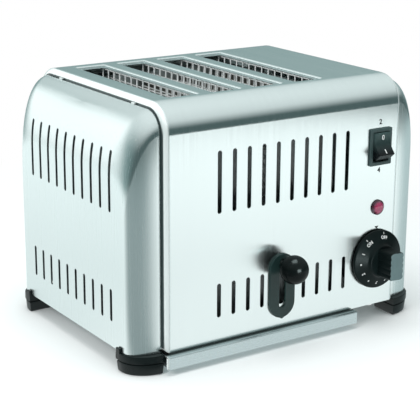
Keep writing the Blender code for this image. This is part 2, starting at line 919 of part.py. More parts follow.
def make_carriage():
    """The bars, racks, lever and knob that move together, straight down."""
    axis = empty("lift_axis", (lever_x, -bar_middle, knob_z), root)
    left, right = rod_left - bar_overhang, rod_right + bar_overhang
    for name, side in (("front", -1), ("rear", 1)):
        ends = sorted((side * (bar_middle - bar_depth / 2), side * (bar_middle + bar_depth / 2)))
        mesh = box((left, ends[0], bar_bottom), (right, ends[1], bar_top))
        bar = add(f"{name}_lift_bar", mesh, dark_steel, axis)
        holes = []
        for x in (rod_left, rod_right):
            hole = circle(rod_radius + gap, rod_sides, x, side * bar_middle)
            holes.append(prism(hole, "Z", bar_bottom - overrun, bar_top + overrun))
        cut(bar, *holes)
    rack_end = bar_middle - bar_depth / 2 - gap
    finger_count = int((slot_length - finger_size) / finger_pitch) + 1
    reach = slot_width / 2 - finger_clearance
    for i, x in enumerate(slot_centres):
        spine = box(
            (x - rack_width / 2, -rack_end, bar_bottom), (x + rack_width / 2, rack_end, bar_top)
        )
        rack = add(f"bread_rack_{i + 1}", spine, bright_steel, axis)
        fingers = []
        for k in range(finger_count):
            y = slot_middle_y + finger_pitch * (k - (finger_count - 1) / 2)
            fingers.append(box(
                (x - reach, y - finger_size / 2, bar_top - finger_size),
                (x + reach, y + finger_size / 2, bar_top + sheet / 2),
            ))
        change(rack, "UNION", fingers)
    half = bracket_width / 2
    front = bracket_front - bracket_sheet
    upright = box(
        (lever_x - half, front, bracket_foot_z), (lever_x + half, bracket_front, bar_top)
    )
    arm = add("lever_arm", upright, dark_steel, axis)
    arm_end = -knob_y + knob_radius - arm_into_knob
    join(
        arm,
        box(
            (lever_x - half, front, bracket_foot_z),
            (lever_x + half, bracket_end, bracket_foot_z + bracket_sheet),
        ),
        box(
            (lever_x - arm_width / 2, arm_end, knob_z - arm_height / 2),
            (lever_x + arm_width / 2, front + bracket_sheet / 2, knob_z + arm_height / 2),
        ),
    )
    profile = [(knob_neck_root, -knob_root)]
    touch = math.asin(knob_neck_radius / knob_radius)
    for i in range(knob_rings):
        turn = touch + (math.pi - touch) * i / knob_rings
        profile.append((knob_radius * math.sin(turn), -knob_y + knob_radius * math.cos(turn)))
    profile.append((pole_radius, -knob_y - knob_radius))
    knob = add(
        "ball_knob", turned(profile, knob_sides, "Y", lever_x, knob_z), black_gloss, axis, smooth=True
    )
    cut(knob, box(
        (lever_x - arm_width / 2 - gap, arm_end - gap, knob_z - arm_height / 2 - gap),
        (lever_x + arm_width / 2 + gap, -half_depth, knob_z + arm_height / 2 + gap),
    ))


def make_rods():
    low, high = case_floor + sheet + gap, case_top - sheet - gap
    for front, side in (("front", -1), ("rear", 1)):
        for name, x in (("left", rod_left), ("right", rod_right)):
            mesh = prism(circle(rod_radius, rod_sides, x, side * bar_middle), "Z", low, high)
            add(f"{front}_{name}_guide_rod", mesh, bright_steel, smooth=True)


def make_spring():
    """A soft lift spring that hangs from the front case plate and holds up the front bar."""
    low = bar_top + gap + spring_wire
    high = case_top - sheet - gap - spring_wire
    x = (rod_left + rod_right) / 2
    curve = bpy.data.curves.new("lift_spring", "CURVE")
    curve.dimensions = "3D"
    curve.bevel_depth = spring_wire
    curve.bevel_resolution = 1
    curve.use_fill_caps = True
    count = spring_turns * spring_points
    spline = curve.splines.new("POLY")
    spline.points.add(count)
    for i, point in enumerate(spline.points):
        turn = 2 * math.pi * i / spring_points
        point.co = (
            x + spring_radius * math.cos(turn),
            -bar_middle + spring_radius * math.sin(turn),
            low + (high - low) * i / count,
            1.0,
        )
    curve.materials.append(material(bright_steel))
    spring = bpy.data.objects.new("lift_spring", curve)
    spring.parent = root
    bpy.context.scene.collection.objects.link(spring)


def make_magnet():
    """The coil that holds the lowered carriage until the timer lets go."""
    half = bracket_width / 2
    coil = box(
        (lever_x - half, bracket_end - magnet_depth, case_floor + sheet + gap),
        (lever_x + half, bracket_end, bracket_foot_z - travel - gap),
    )
    add("hold_magnet", coil, black_satin)


def make_lever_plate():
    radius = plate_width / 2
    outline = []
    for i in range(plate_steps + 1):
        turn = math.pi * i / plate_steps
        outline.append((lever_x + radius * math.cos(turn), plate_top - radius + radius * math.sin(turn)))
    for i in range(plate_steps + 1):
        turn = math.pi * (1 + i / plate_steps)
        u, v = radius * math.cos(turn), radius * math.sin(turn)
        if abs(u) < plate_tip_width:
            outline.append((lever_x - plate_tip_width, plate_bottom + plate_tip))
            outline.append((lever_x, plate_bottom))
            outline.append((lever_x + plate_tip_width, plate_bottom + plate_tip))
        else:
            outline.append((lever_x + u, plate_bottom + plate_tip + radius + v))
    back = -half_depth - gap
    mesh = prism(outline, "Y", back - plate_thickness, back)
    plate = add("lever_plate", mesh, black_satin)
    pegs = []
    for side in (-1, 1):
        peg = circle(peg_radius, peg_sides, lever_x + side * peg_offset, peg_z)
        pegs.append(prism(peg, "Y", back - plate_thickness / 2, -inner_face))
    change(plate, "UNION", pegs)
    slot = stadium(lever_slot_width, plate_slot_bottom, lever_slot_top, lever_x, plate_steps)
    cut(plate, prism(slot, "Y", back - overrun, back + overrun))


def grip_outline():
    """The grip bar's end, with shallow finger scallops down both long sides."""
    pitch = grip_height / grip_scallop_count
    rise = pitch * grip_scallop_share
    half = grip_width / 2
    right = []
    for i in range(grip_scallop_count):
        low = -grip_height / 2 + pitch * i
        right += [(half - grip_scallop, low), (half, low + rise), (half, low + pitch - rise)]
    right[0] = (half - grip_scallop, grip_corner - grip_height / 2)
    right.insert(0, (half - grip_scallop - grip_corner, -grip_height / 2))
    right.append((half - grip_scallop, grip_height / 2 - grip_corner))
    right.append((half - grip_scallop - grip_corner, grip_height / 2))
    outline = right + [(-u, v) for u, v in reversed(right)]
    return [(controls_x + u, timer_z + v) for u, v in outline]


def make_timer():
    axis = empty("timer_axis", (controls_x, -half_depth, timer_z), root)
    back = -half_depth - dial_stand
    rim = back - dial_rim
    hub = rim - dial_cone
    profile = [
        (dial_radius - edge_round, back),
        (dial_radius, back - edge_round),
        (dial_radius - edge_round, rim),
        (hub_radius + hub_foot, hub + hub_foot),
        (hub_radius, hub),
        (hub_radius - hub_step, hub - hub_step),
    ]
    knob = add(
        "timer_knob", turned(profile, dial_sides, "Y", controls_x, timer_z), black_satin, axis, smooth=True
    )
    join(knob, prism(grip_outline(), "Y", -grip_end, hub + hub_step))
    bore_end = back - shaft_in_knob
    bore = circle(shaft_radius + gap, shaft_sides, controls_x, timer_z)
    cut(knob, prism(bore, "Y", bore_end - gap, back + overrun))
    timer_front = -inner_face + gap
    shaft = circle(shaft_radius, shaft_sides, controls_x, timer_z)
    mesh = prism(shaft, "Y", bore_end, timer_front + shaft_in_timer)
    add("timer_shaft", mesh, bright_steel, axis, smooth=True)
    case = rounded(timer_size, timer_size, timer_corner, controls_x, timer_z)
    body = add("timer_body", prism(case, "Y", timer_front, timer_front + timer_depth), dark_steel)
    socket = circle(shaft_radius + gap, shaft_sides, controls_x, timer_z)
    cut(body, prism(socket, "Y", timer_front - overrun, timer_front + shaft_in_timer + gap))


def make_switch():
    face = -half_depth - bezel_proud
    back = -half_depth - gap
    wide, tall = window_width + 2 * bezel_border, 2 * (window_half + bezel_border)
    bezel = rounded(wide, tall, bezel_corner, controls_x, switch_z)
    housing = add("switch_housing", prism(bezel, "Y", face, back), black_satin)
    half_x, half_z = switch_body_width / 2, switch_body_height / 2
    join(housing, box(
        (controls_x - half_x, back - sheet, switch_z - half_z),
        (controls_x + half_x, -half_depth + switch_body_depth, switch_z + half_z),
    ))
    half_x, half_z = window_width / 2, window_half
    cut(housing, box(
        (controls_x - half_x, face - overrun, switch_z - half_z),
        (controls_x + half_x, -half_depth + window_depth, switch_z + half_z),
    ))
    pivot_y = -half_depth + rocker_pivot_depth
    axis = empty("rocker_axis", (controls_x, pivot_y, switch_z), root)
    outline = []
    for out, up in (
        (rocker_end, rocker_half),
        (rocker_valley, 0.0),
        (rocker_end, -rocker_half),
        (rocker_heel, -rocker_heel_half),
        (-rocker_root, -rocker_root),
        (-rocker_root, rocker_root),
        (rocker_heel, rocker_heel_half),
    ):
        y = up * math.sin(rocker_tilt) - out * math.cos(rocker_tilt)
        z = up * math.cos(rocker_tilt) + out * math.sin(rocker_tilt)
        outline.append((pivot_y + y, switch_z + z))
    start = controls_x - rocker_width / 2
    add("rocker", prism(outline, "X", start, start + rocker_width), black_gloss, axis)


def make_lamp():
    back = -half_depth - gap
    rim = back - lens_rim
    profile = [(lamp_neck_radius, -half_depth + lamp_neck), (lamp_neck_radius, back), (lens_radius, back)]
    profile.append((lens_radius, rim))
    for i in range(1, lens_steps):
        turn = math.pi / 2 * i / lens_steps
        profile.append((lens_radius * math.cos(turn), rim - lens_dome * math.sin(turn)))
    profile.append((pole_radius, rim - lens_dome))
    mesh = turned(profile, lamp_sides, "Y", controls_x, lamp_z)
    add("lamp_lens", mesh, lamp_red, smooth=True)
    start = -half_depth + lamp_neck + gap
    body = circle(lamp_body_radius, lamp_sides, controls_x, lamp_z)
    add("lamp_body", prism(body, "Y", start, start + lamp_body_length), white_plastic, smooth=True)


def make_terminal():
    back = half_depth - terminal_inset
    low = (controls_x - terminal_width / 2, back - terminal_depth, base_top + gap)
    high = (controls_x + terminal_width / 2, back, base_top + gap + terminal_height)
    block = add("terminal_block", box(low, high), white_plastic)
    notches = []
    pitch = terminal_width / terminal_count
    half = pitch / 2 - sheet
    for i in range(terminal_count):
        x = low[0] + pitch / 2 + pitch * i
        notches.append(box(
            (x - half, low[1] - overrun, high[2] - terminal_step),
            (x + half, low[1] + terminal_step, high[2] + overrun),
        ))
    cut(block, *notches)


def make_gland():
    """The cord inlet: collar and nose outside the back panel, nut inside it."""
    collar = half_depth + gap
    nut = half_depth - sheet - gap
    profile = [
        (gland_radius, half_depth - gland_inside),
        (gland_radius, nut - gland_nut),
        (gland_nut_radius, nut - gland_nut),
        (gland_nut_radius, nut),
        (gland_radius, nut),
        (gland_radius, collar),
        (gland_head_radius, collar),
        (gland_head_radius, collar + gland_collar),
        (gland_nose_radius, collar + gland_collar + gland_nose),
    ]
    gland = add(
        "cord_gland", turned(profile, gland_sides, "Y", controls_x, gland_z), black_satin, smooth=True
    )
    bore = circle(gland_bore, gland_sides, controls_x, gland_z)
    cut(gland, prism(bore, "Y", half_depth - gland_inside - overrun, gland_reach + overrun))


clear_scene()
root = empty("toaster", (0, root_y, 0))
make_wrap()
make_cap("left_end_cap", -1)
make_cap("right_end_cap", 1)
make_base()
make_feet()
make_screws()
make_tray()
make_rails()
make_case()
make_guards()
make_elements()
make_carriage()
make_rods()
make_spring()
make_magnet()
make_lever_plate()
make_timer()
make_switch()
make_lamp()
make_terminal()
make_gland()
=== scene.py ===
"""Looks of the four-slot toaster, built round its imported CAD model. Metres, +Z up, front towards -Y."""

import json
import math

import bmesh
import bpy
from mathutils import Matrix, Vector
from mathutils.bvhtree import BVHTree
from mathutils.interpolate import poly_3d_calc

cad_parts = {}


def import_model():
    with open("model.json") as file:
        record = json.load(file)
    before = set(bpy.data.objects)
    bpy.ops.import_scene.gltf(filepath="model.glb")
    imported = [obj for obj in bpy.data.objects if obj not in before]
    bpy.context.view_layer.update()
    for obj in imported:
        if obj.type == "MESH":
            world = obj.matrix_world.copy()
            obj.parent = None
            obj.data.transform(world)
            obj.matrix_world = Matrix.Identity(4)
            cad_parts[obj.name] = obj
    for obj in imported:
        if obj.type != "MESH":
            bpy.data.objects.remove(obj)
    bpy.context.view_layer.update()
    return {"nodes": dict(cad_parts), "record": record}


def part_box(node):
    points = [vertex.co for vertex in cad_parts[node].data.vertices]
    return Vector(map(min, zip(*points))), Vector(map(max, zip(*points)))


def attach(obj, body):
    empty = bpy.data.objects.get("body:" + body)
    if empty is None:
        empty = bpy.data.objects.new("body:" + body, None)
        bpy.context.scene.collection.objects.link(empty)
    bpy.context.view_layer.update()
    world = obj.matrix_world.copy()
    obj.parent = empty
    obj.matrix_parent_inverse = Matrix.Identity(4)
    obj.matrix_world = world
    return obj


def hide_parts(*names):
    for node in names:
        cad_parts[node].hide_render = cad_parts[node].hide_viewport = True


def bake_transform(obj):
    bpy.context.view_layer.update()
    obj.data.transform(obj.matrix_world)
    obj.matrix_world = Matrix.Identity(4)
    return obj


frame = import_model()

# Camera at the photograph's angle
camera_place = (-0.62581, -0.92259, 0.42070)
camera_yaw = 0.5862
camera_pitch = -0.2858
camera_roll = 0.0047
camera_lens = 113.4
camera_sensor = 36.0

# Lengths and limits that several pieces share
sheet = 0.001
gap = 0.0003
overrun = 0.004
rim = 0.0003
point_radius = 0.0002
flat_degrees = 0.5
borrow_reach = 0.0004
borrow_facing = 0.9
borrow_turn = 0.8
borrow_length = 0.5
hole_sides = 24

# Wrap cover
wrap_radius = 0.0235
wrap_fold = 0.014
wrap_flange = 0.012
wrap_edge = 0.0046
wrap_steps = 20
edge_steps = 6
vent_width = 0.0036
vent_steps = 8
front_vent_count = 10
front_vent_inset = 0.050
front_vent_pitch = 0.0142
front_vent_upper = (0.1245, 0.1755)
front_vent_lower = (0.0375, 0.0660)
switch_hole_inset = 0.003
shaft_hole_radius = 0.0035
lamp_hole_radius = 0.0053
gland_hole_radius = 0.0063

# Bread slots and their guards
slot_width = 0.028
slot_length = 0.152
slot_middle_y = -0.001
slot_collar = 0.002
slot_corner = 0.0018
slot_round = 0.0013
guard_rise = 0.003
wire = 0.00065
wire_pitch = 0.0098
wire_sides = 8
wire_first = 0.0012
wire_layers = 2.7

# End caps and the tabs on their seams
cap_corner = 0.014
cap_crown = 0.055
cap_flange = 0.006
cap_lip = 0.0006
cap_first_turn = 0.06
cap_softer_side = 0.010
cap_softer_top = 0.026
cap_rings = 18
cap_steps = 14
cap_sharp_degrees = 50
end_vent_count = 10
end_vent_margin = 0.0189
end_vent_upper = (0.1285, 0.1780)
end_vent_lower = (0.0380, 0.0650)
tab_place = 0.0605
tab_half = 0.0026
tab_reach = 0.0019
tab_rise = 0.0010
tab_overlap = 0.0002
tab_edge = 0.0003

# Lever plate and ball
lever_slot_width = 0.0062
lever_slot_steps = 16
panel_slot = (0.0365, 0.0765)
plate_slot = (0.0335, 0.0765)
plate_thickness = 0.0017
plate_tip = 0.0012
plate_tip_width = 0.0022
plate_edge = 0.00028
plate_steps = 24
neck_radius = 0.0052
neck_share = 0.96
neck_blend = 0.0004
neck_profile = ((0.0040, 0.0), (0.0044, 0.0004), (0.0047, 0.0012))
ball_rings = 40
ball_sides = 64

# Timer dial: profiles hold (inset, rise) pairs or shares of a length
dial_rim = 0.0034
dial_rim_profile = (
    (0.0008, 0.0), (0.0002, 0.0003), (0.0, 0.0009),
    (0.0, 0.0021), (0.0002, 0.0029), (0.0008, 0.0034),
)
dial_stand = 0.0007
dial_cone = 0.0062
dial_sides = 96
hub_radius = 0.0142
hub_foot = 0.0024
hub_foot_shares = ((1.0, 1.0), (0.45, 0.75), (0.0625, 0.25), (0.0, 0.0))
hub_step = 0.0012
hub_step_shares = ((0.35, 0.65), (1.0, 1.0))
grip_width = 0.0138
grip_height = 0.0245
grip_corner = 0.0024
grip_edge = 0.0005
grip_scallop = 0.0007
grip_scallop_count = 5
grip_scallop_steps = 8
grip_scallop_power = 0.6
dial_rest = 11.0

# Marks
mark_depth = 0.00012
capital_share = 0.69
bold_share = 0.035
cone_flat_share = 0.915
mark_radius = 0.0207
word_radius = 0.0201
dial_word_height = 0.00272
dial_words = ((0, "OFF"), (47, "ON"), (77, "1"), (130, "2"), (183, "3"), (236, "4"), (289, "5"))
dial_dots = (103.5, 156.5, 209.5, 262.5)
dot_radius = 0.00075
dot_sides = 16
dial_ticks = (0, 47)
tick_half_width = 0.00025
tick_half = 0.0009
tick_rise = 0.0029
panel_word_height = 0.0042
upper_word_rise = 0.0212
lower_word_drop = 0.0206
arrow_half = 0.0021
arrow_rise = 0.0013
arrow_gap = 0.0018

# Lamp
lamp_rise = 0.0022
lamp_foot_radius = 0.0048
lamp_edge = 0.0002
lamp_bevel = 0.0003
lamp_rim = 0.0009
lamp_rim_step = 0.0001
lamp_steps = 12
lamp_sides = 64

# Rocker switch
bezel_border = 0.0031
bezel_corner = 0.0012
bezel_edge = 0.0004
bezel_overlap = 0.001
switch_wall = 0.0014
window_floor = 0.008
rocker_half = 0.0093
rocker_end = 0.0106
rocker_valley = 0.0076
rocker_power = 1.5
rocker_heel_half = 0.0122
rocker_heel = 0.0030
rocker_root = 0.0030
rocker_tilt = 19.5
rocker_pivot = 0.0026
rocker_edge = 0.0005
rocker_steps = 8
rocker_mark_place = 0.0060
ring_width = 0.0026
ring_half = 0.0020
ring_hole_width = 0.0011
ring_hole_half = 0.0013
ring_steps = 12
bar_half_width = 0.00045
bar_half = 0.0019

# Feet: profiles hold (height, inset) pairs from the sole, round the groove and down from the top
foot_band = 0.0092
foot_sole_profile = ((0.0, 0.0024), (0.0003, 0.0018), (0.0009, 0.0014), (foot_band / 2, 0.0010))
foot_band_profile = (
    (-0.0007, 0.0007), (-0.0002, 0.0010), (0.0, 0.0016),
    (0.0006, 0.0016), (0.0007, 0.0006), (0.0012, 0.0),
)
foot_top_profile = ((0.0006, 0.0), (0.0, 0.0005))
foot_straight = 0.005
foot_steps = 24
foot_recess = 0.0063
bore_sides = 40
ear_length = 0.006
ear_drop = 0.004
ear_edge = 0.0007

# Crumb tray
tray_sheet = 0.0008
tray_depth = 0.0096
tray_headroom = 0.0008
tray_overhang = 0.0008
tray_lip_gap = 0.0004
tray_return = 0.004
tray_bend = 0.0014
tray_bend_steps = 6
tray_edge = 0.00018

# Lift spring
coil_wire = 0.0006
coil_turns = 12
coil_points = 24
coil_sides = 10

# Edges of the CAD nodes that are shown as they are
cad_edge = 0.00015
cad_edge_degrees = 50
cad_smooth_degrees = 40
cad_weld_reach = 0.000005

# Colours and finishes
steel_colour = (0.80, 0.875, 0.87)
collar_colour = (0.60, 0.74, 0.74)
# Painted shade: the dark colour painted on the wrap's folded sides and in a thin line at its seams with
# the end caps.
seam_shade_colour = (0.05, 0.07, 0.07)
# Painted highlight: the pale colour painted on the wrap's rounded side edges and on the tray's left end.
painted_highlight_colour = (0.92, 0.97, 0.96)
cloud_scale = 9
cloud_share = 0.3
brush_strength = 0.06
brush_depth = 0.00003
brush_share = 0.8
dull_metal_share = 0.35
collar_margin = 0.0003
collar_fade = 0.0010
collar_top = 0.0006
collar_foot = 0.0090
# Where the painted highlight on the wrap's rounded side edges begins and fades in.
highlight_inset = 0.0004
highlight_fade = 0.0016
# Widths over which the painted shade on the wrap's folded sides and the painted dark line at its seams
# fade in.
seam_shade_width = 0.0004
seam_shade_fade = 0.0001
shade_line_width = 0.00008
shade_line_fade = 0.00002
# Radii over which the lamp's lens turns dark: painted shade towards its rim.
lamp_shade_start = 0.0042
lamp_shade_radius = 0.0058
lamp_grid_depth = 0.0001
lamp_scatter = 0.002
dial_ring_pitch = 0.0011
dial_ring_depth = 0.00004
# Depth and fade of the painted sheen on the timer grip's end face.
sheen_depth = 0.0006
sheen_fade = 0.0005
tray_shadow = 0.0030
tray_shadow_fade = 0.0015
# Heights below and above the switch over which the rocker's painted highlight fades in.
painted_light_below = 0.0040
painted_light_above = 0.0110

# Studio: each wedge of the floor holds its start point, heading, span and the tone mirrored there
floor_reach = 0.97
floor_middle = (0.08, 0.0)
floor_sides = 96
floor_drop = 0.0002
floor_fade = (0.22, 0.60)
floor_glossy_share = 0.8
floor_strengths = (1.02, 1.45)
floor_strength_span = (0.30, 0.92)
floor_white = (0.96, 1.0, 1.0)
floor_wedges = (
    ((0, 0), (-0.50, 0.85), (0.2, 0.8), (0.83, 0.90, 0.90)),
    ((-0.115, -0.105), (-0.70, -0.71), (0.32, 0.80), (0.080, 0.135, 0.140)),
    ((0.115, -0.105), (0.99, 0.12), (0.70, 0.90), (0.36, 0.46, 0.47)),
)
front_tone = (0.085, 0.125, 0.125)
back_tone = (0.21, 0.32, 0.32)
wall_span = (-0.2, 0.5)
sky_white = (0.86, 0.92, 0.92)
sky_lower_share = 0.76
sky_lower_span = (0.15, 0.52)
sky_upper_span = (0.50, 0.90)
side_white = (1.35, 1.40, 1.40)
side_heading = (-0.50, 0.85, 0.10)
side_span = (0.91, 0.97)
receiver_light = (0.82, 1.0, 1.0)
ball_aim = 0.125
dial_aim = 0.115


# Places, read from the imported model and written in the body's own coordinates
wrap_low, wrap_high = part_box("wrap_cover")
shift = Vector((0, (wrap_low.y + wrap_high.y) / 2, 0))


def place_of(node):
    low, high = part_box(node)
    return low - shift, high - shift


def middle_of(node):
    low, high = place_of(node)
    return (low + high) / 2


def size_of(node):
    low, high = place_of(node)
    return high - low


half_wrap = wrap_high.x
half_depth = (wrap_high.y - wrap_low.y) / 2
body_height = wrap_high.z
foot_height = wrap_low.z
cap_low, cap_high = place_of("right_end_cap")
seam_x, half_width = cap_low.x, cap_high.x
cap_half_depth, cap_top = cap_high.y, cap_high.z
cap_reach = half_width - seam_x
cap_radius = wrap_radius - (body_height - cap_top)
controls_x, timer_z = middle_of("timer_knob").x, middle_of("timer_knob").z
dial_radius = size_of("timer_knob").x / 2
dial_back = -half_depth - dial_stand
lamp_z = middle_of("lamp_lens").z
switch_z = middle_of("switch_housing").z
gland_z = middle_of("cord_gland").z
lever_x, knob_z = middle_of("ball_knob").x, middle_of("ball_knob").z
slot_centres = [
    (middle_of(f"bread_guard_{i}_left").x + middle_of(f"bread_guard_{i}_right").x) / 2
    for i in range(1, 5)
]


# Mesh code
def placed(name, data):
    """A new object, linked to the scene."""
    made = bpy.data.objects.new(name, data)
    bpy.context.scene.collection.objects.link(made)
    return made


def baked(holder):
    """The mesh of a holder object with its modifiers; the holder goes away."""
    graph = bpy.context.evaluated_depsgraph_get()
    mesh = bpy.data.meshes.new_from_object(holder.evaluated_get(graph))
    bpy.data.objects.remove(holder)
    return mesh


def finished(made):
    mesh = bpy.data.meshes.new("mesh")
    made.to_mesh(mesh)
    made.free()
    return mesh


def built(points, faces):
    made = bmesh.new()
    corners = [made.verts.new(point) for point in points]
    for face in faces:
        made.faces.new([corners[i] for i in face])
    bmesh.ops.recalc_face_normals(made, faces=made.faces)
    return made


def mesh_of(points, faces):
    return finished(built(points, faces))


def arc(steps, first=0.0, last=math.pi / 2):
    """(cosine, sine) pairs of even turns from the first angle to the last."""
    turns = [first + (last - first) * i / steps for i in range(steps + 1)]
    return [(math.cos(t), math.sin(t)) for t in turns]


def merged(meshes):
    made = bmesh.new()
    for mesh in meshes:
        made.from_mesh(mesh)
    return finished(made)


def loft(rings):
    count = len(rings[0])
    points = [point for ring in rings for point in ring]
    faces = [list(range(count)), list(range(len(points) - count, len(points)))]
    for r in range(len(rings) - 1):
        for i in range(count):
            j = (i + 1) % count
            faces.append([r * count + i, r * count + j, (r + 1) * count + j, (r + 1) * count + i])
    return mesh_of(points, faces)


def along(axis, u, v, w):
    return {"X": (w, u, v), "Y": (u, w, v), "Z": (u, v, w)}[axis]


def prism(outline, axis, start, end):
    return loft([[along(axis, u, v, w) for u, v in outline] for w in (start, end)])


def box(low, high):
    outline = [(low[0], low[1]), (high[0], low[1]), (high[0], high[1]), (low[0], high[1])]
    return prism(outline, "Z", low[2], high[2])


def circle(radius, sides, u=0.0, v=0.0):
    turns = [2 * math.pi * (i + 0.5) / sides for i in range(sides)]
    return [(u + radius * math.cos(t), v + radius * math.sin(t)) for t in turns]


def turned(profile, sides, axis, u, v):
    """A solid of revolution: profile holds (radius, place along the axis)."""
    rings = []
    for radius, w in profile:
        rings.append([along(axis, a, b, w) for a, b in circle(radius, sides, u, v)])
    return loft(rings)


def stadium(width, bottom, top, u, steps):
    radius = width / 2
    outline = []
    for centre, first in ((top - radius, 0.0), (bottom + radius, math.pi)):
        outline += [(u + radius * a, centre + radius * b) for a, b in arc(steps, first, first + math.pi)]
    return outline


def rounded(width, height, corner, u, v, steps=4):
    outline = []
    for i, (side, end) in enumerate(((1, 1), (-1, 1), (-1, -1), (1, -1))):
        middle_u, middle_v = u + side * (width / 2 - corner), v + end * (height / 2 - corner)
        for a, b in arc(steps, math.pi / 2 * i, math.pi / 2 * (i + 1)):
            outline.append((middle_u + corner * a, middle_v + corner * b))
    return outline


def flared(outline_at, axis, surface, inward, depth, radius, steps=3):
    """A cutter whose mouth is rounded: outline_at(grow) gives its outline grown by that much."""
    rings = [(surface - inward * overrun, radius)]
    rings += [(surface + inward * radius * (1 - a), radius * (1 - b)) for a, b in arc(steps)]
    rings.append((surface + inward * depth, 0.0))
    return loft([[along(axis, u, v, w) for u, v in outline_at(grow)] for w, grow in rings])


def evaluated(mesh, kind, **settings):
    """The mesh after one modifier."""
    holder = placed("holder", mesh)
    modifier = holder.modifiers.new("step", kind)
    for key, value in settings.items():
        setattr(modifier, key, value)
    return baked(holder)


def carve(mesh, operation, tools):
    tool = placed("tool", merged(tools))
    made = evaluated(mesh, "BOOLEAN", operation=operation, solver="EXACT", object=tool)
    bpy.data.objects.remove(tool)
    return made


def soften(mesh, width, steps=3, angle=30.0):
    """Rounds every edge that is sharper than the angle."""
    made = bmesh.new()
    made.from_mesh(mesh)
    bmesh.ops.dissolve_limit(
        made, angle_limit=math.radians(flat_degrees), verts=made.verts, edges=made.edges, delimit=set()
    )
    sharp = [e for e in made.edges if e.is_manifold and e.calc_face_angle(0) > math.radians(angle)]
    bmesh.ops.bevel(
        made, geom=sharp, offset=width, offset_type="OFFSET", segments=steps, profile=0.5,
        affect="EDGES", clamp_overlap=True,
    )
    return finished(made)


def tube(points, radius, sides):
    """A round closed tube along a line of points."""
    line = [Vector(p) for p in points]
    around = arc(sides, 0.0, 2 * math.pi)[:-1]
    rings = []
    normal = None
    for i, point in enumerate(line):
        ahead = line[min(i + 1, len(line) - 1)] - line[max(i - 1, 0)]
        ahead.normalize()
        if normal is None:
            normal = ahead.orthogonal().normalized()
        normal = (normal - ahead * normal.dot(ahead)).normalized()
        other = ahead.cross(normal)
        rings.append([point + radius * (normal * a + other * b) for a, b in around])
    return loft(rings)


def borrow_normals(mesh, source):
    """Gives a cut mesh the smooth normals of the same mesh before the cuts."""
    tree = BVHTree.FromPolygons([v.co for v in source.vertices], [p.vertices for p in source.polygons])
    corners = [Vector(n.vector) for n in source.corner_normals]
    normals = [Vector((0, 0, 0))] * len(mesh.loops)
    for face in mesh.polygons:
        _, facing, _, far = tree.find_nearest(face.center)
        if far > borrow_reach or facing.dot(face.normal) < borrow_facing:
            continue
        for loop in face.loop_indices:
            point = mesh.vertices[mesh.loops[loop].vertex_index].co
            near, _, index, _ = tree.find_nearest(point)
            seen = source.polygons[index]
            if seen.normal.dot(face.normal) < borrow_turn:
                continue
            weights = poly_3d_calc([source.vertices[v].co for v in seen.vertices], near)
            mixed = Vector((0, 0, 0))
            for weight, k in zip(weights, seen.loop_indices):
                mixed += corners[k] * weight
            if mixed.length > borrow_length:
                normals[loop] = mixed.normalized()
    mesh.normals_split_custom_set(normals)


def piece(name, mesh, look, body, slot, *nodes, angle=35.0, weighted=True):
    """A finished piece, written in body coordinates, that rides on a body."""
    mesh.transform(Matrix.Translation(shift))
    mesh.materials.clear()
    mesh.materials.append(look)
    if weighted:
        mesh.shade_smooth()
        mesh.set_sharp_from_angle(angle=math.radians(angle))
    made = placed(name, mesh)
    if weighted:
        made.modifiers.new("normals", "WEIGHTED_NORMAL").keep_sharp = True
    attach(made, body)
    if nodes:
        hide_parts(*nodes)
    return made


# Materials
def plug(made, value, entry):
    """Links another node's output to an entry, or sets the entry to a plain value."""
    if isinstance(value, bpy.types.NodeSocket):
        made.node_tree.links.new(value, entry)
    else:
        entry.default_value = value


def feed(made, target, **values):
    for key, value in values.items():
        plug(made, value, target.inputs[key.replace("_", " ")])


def new_look(name, colour, roughness, metallic=0.0, coat=0.0, specular=0.5):
    made = bpy.data.materials.new(name)
    made.use_nodes = True
    made.diffuse_color = (*colour, 1.0)
    shader = made.node_tree.nodes["Principled BSDF"]
    feed(
        made, shader, Base_Color=(*colour, 1.0), Roughness=roughness, Metallic=metallic,
        Coat_Weight=coat, Specular_IOR_Level=specular,
    )
    return made, shader


def node(made, kind, settings=None, **inputs):
    fresh = made.node_tree.nodes.new(kind)
    for key, value in (settings or {}).items():
        setattr(fresh, key, value)
    feed(made, fresh, **inputs)
    return fresh


def calculated(made, operation, *entries, kind="ShaderNodeMath"):
    fresh = node(made, kind, {"operation": operation})
    for value, entry in zip(entries, fresh.inputs):
        plug(made, value, entry)
    return fresh.outputs["Value"]


def vector_calculated(made, operation, *entries):
    """A length, a distance or another plain number worked out from vectors."""
    return calculated(made, operation, *entries, kind="ShaderNodeVectorMath")


def product(made, first, *others):
    """Several numbers multiplied."""
    for other in others:
        first = calculated(made, "MULTIPLY", first, other)
    return first


def scaled_place(made, scale):
    """The place on a piece times three numbers, or times one number all round."""
    scale = scale if isinstance(scale, tuple) else (scale, scale, scale)
    place = node(made, "ShaderNodeTexCoord").outputs["Object"]
    return node(made, "ShaderNodeMapping", Vector=place, Scale=scale).outputs["Vector"]


def noise(made, scale, detail=4.0, rough=0.6):
    return node(
        made, "ShaderNodeTexNoise",
        Vector=scaled_place(made, scale), Scale=1.0, Detail=detail, Roughness=rough,
    ).outputs["Fac"]


def cells(made, count, output="Distance"):
    place = scaled_place(made, count)
    return node(made, "ShaderNodeTexVoronoi", Vector=place, Scale=1.0).outputs[output]


def spread(made, value, low, high, start=0.3, end=0.7):
    """The value, from start to end, as a number from low to high."""
    settings = {"From_Min": start, "From_Max": end, "To_Min": low, "To_Max": high}
    return node(made, "ShaderNodeMapRange", Value=value, **settings).outputs["Result"]


def past(made, value, start, end):
    """0 before start and 1 past end."""
    return spread(made, value, 0.0, 1.0, start, end)


def before(made, value, start, end):
    """1 before start and 0 past end."""
    return spread(made, value, 1.0, 0.0, start, end)


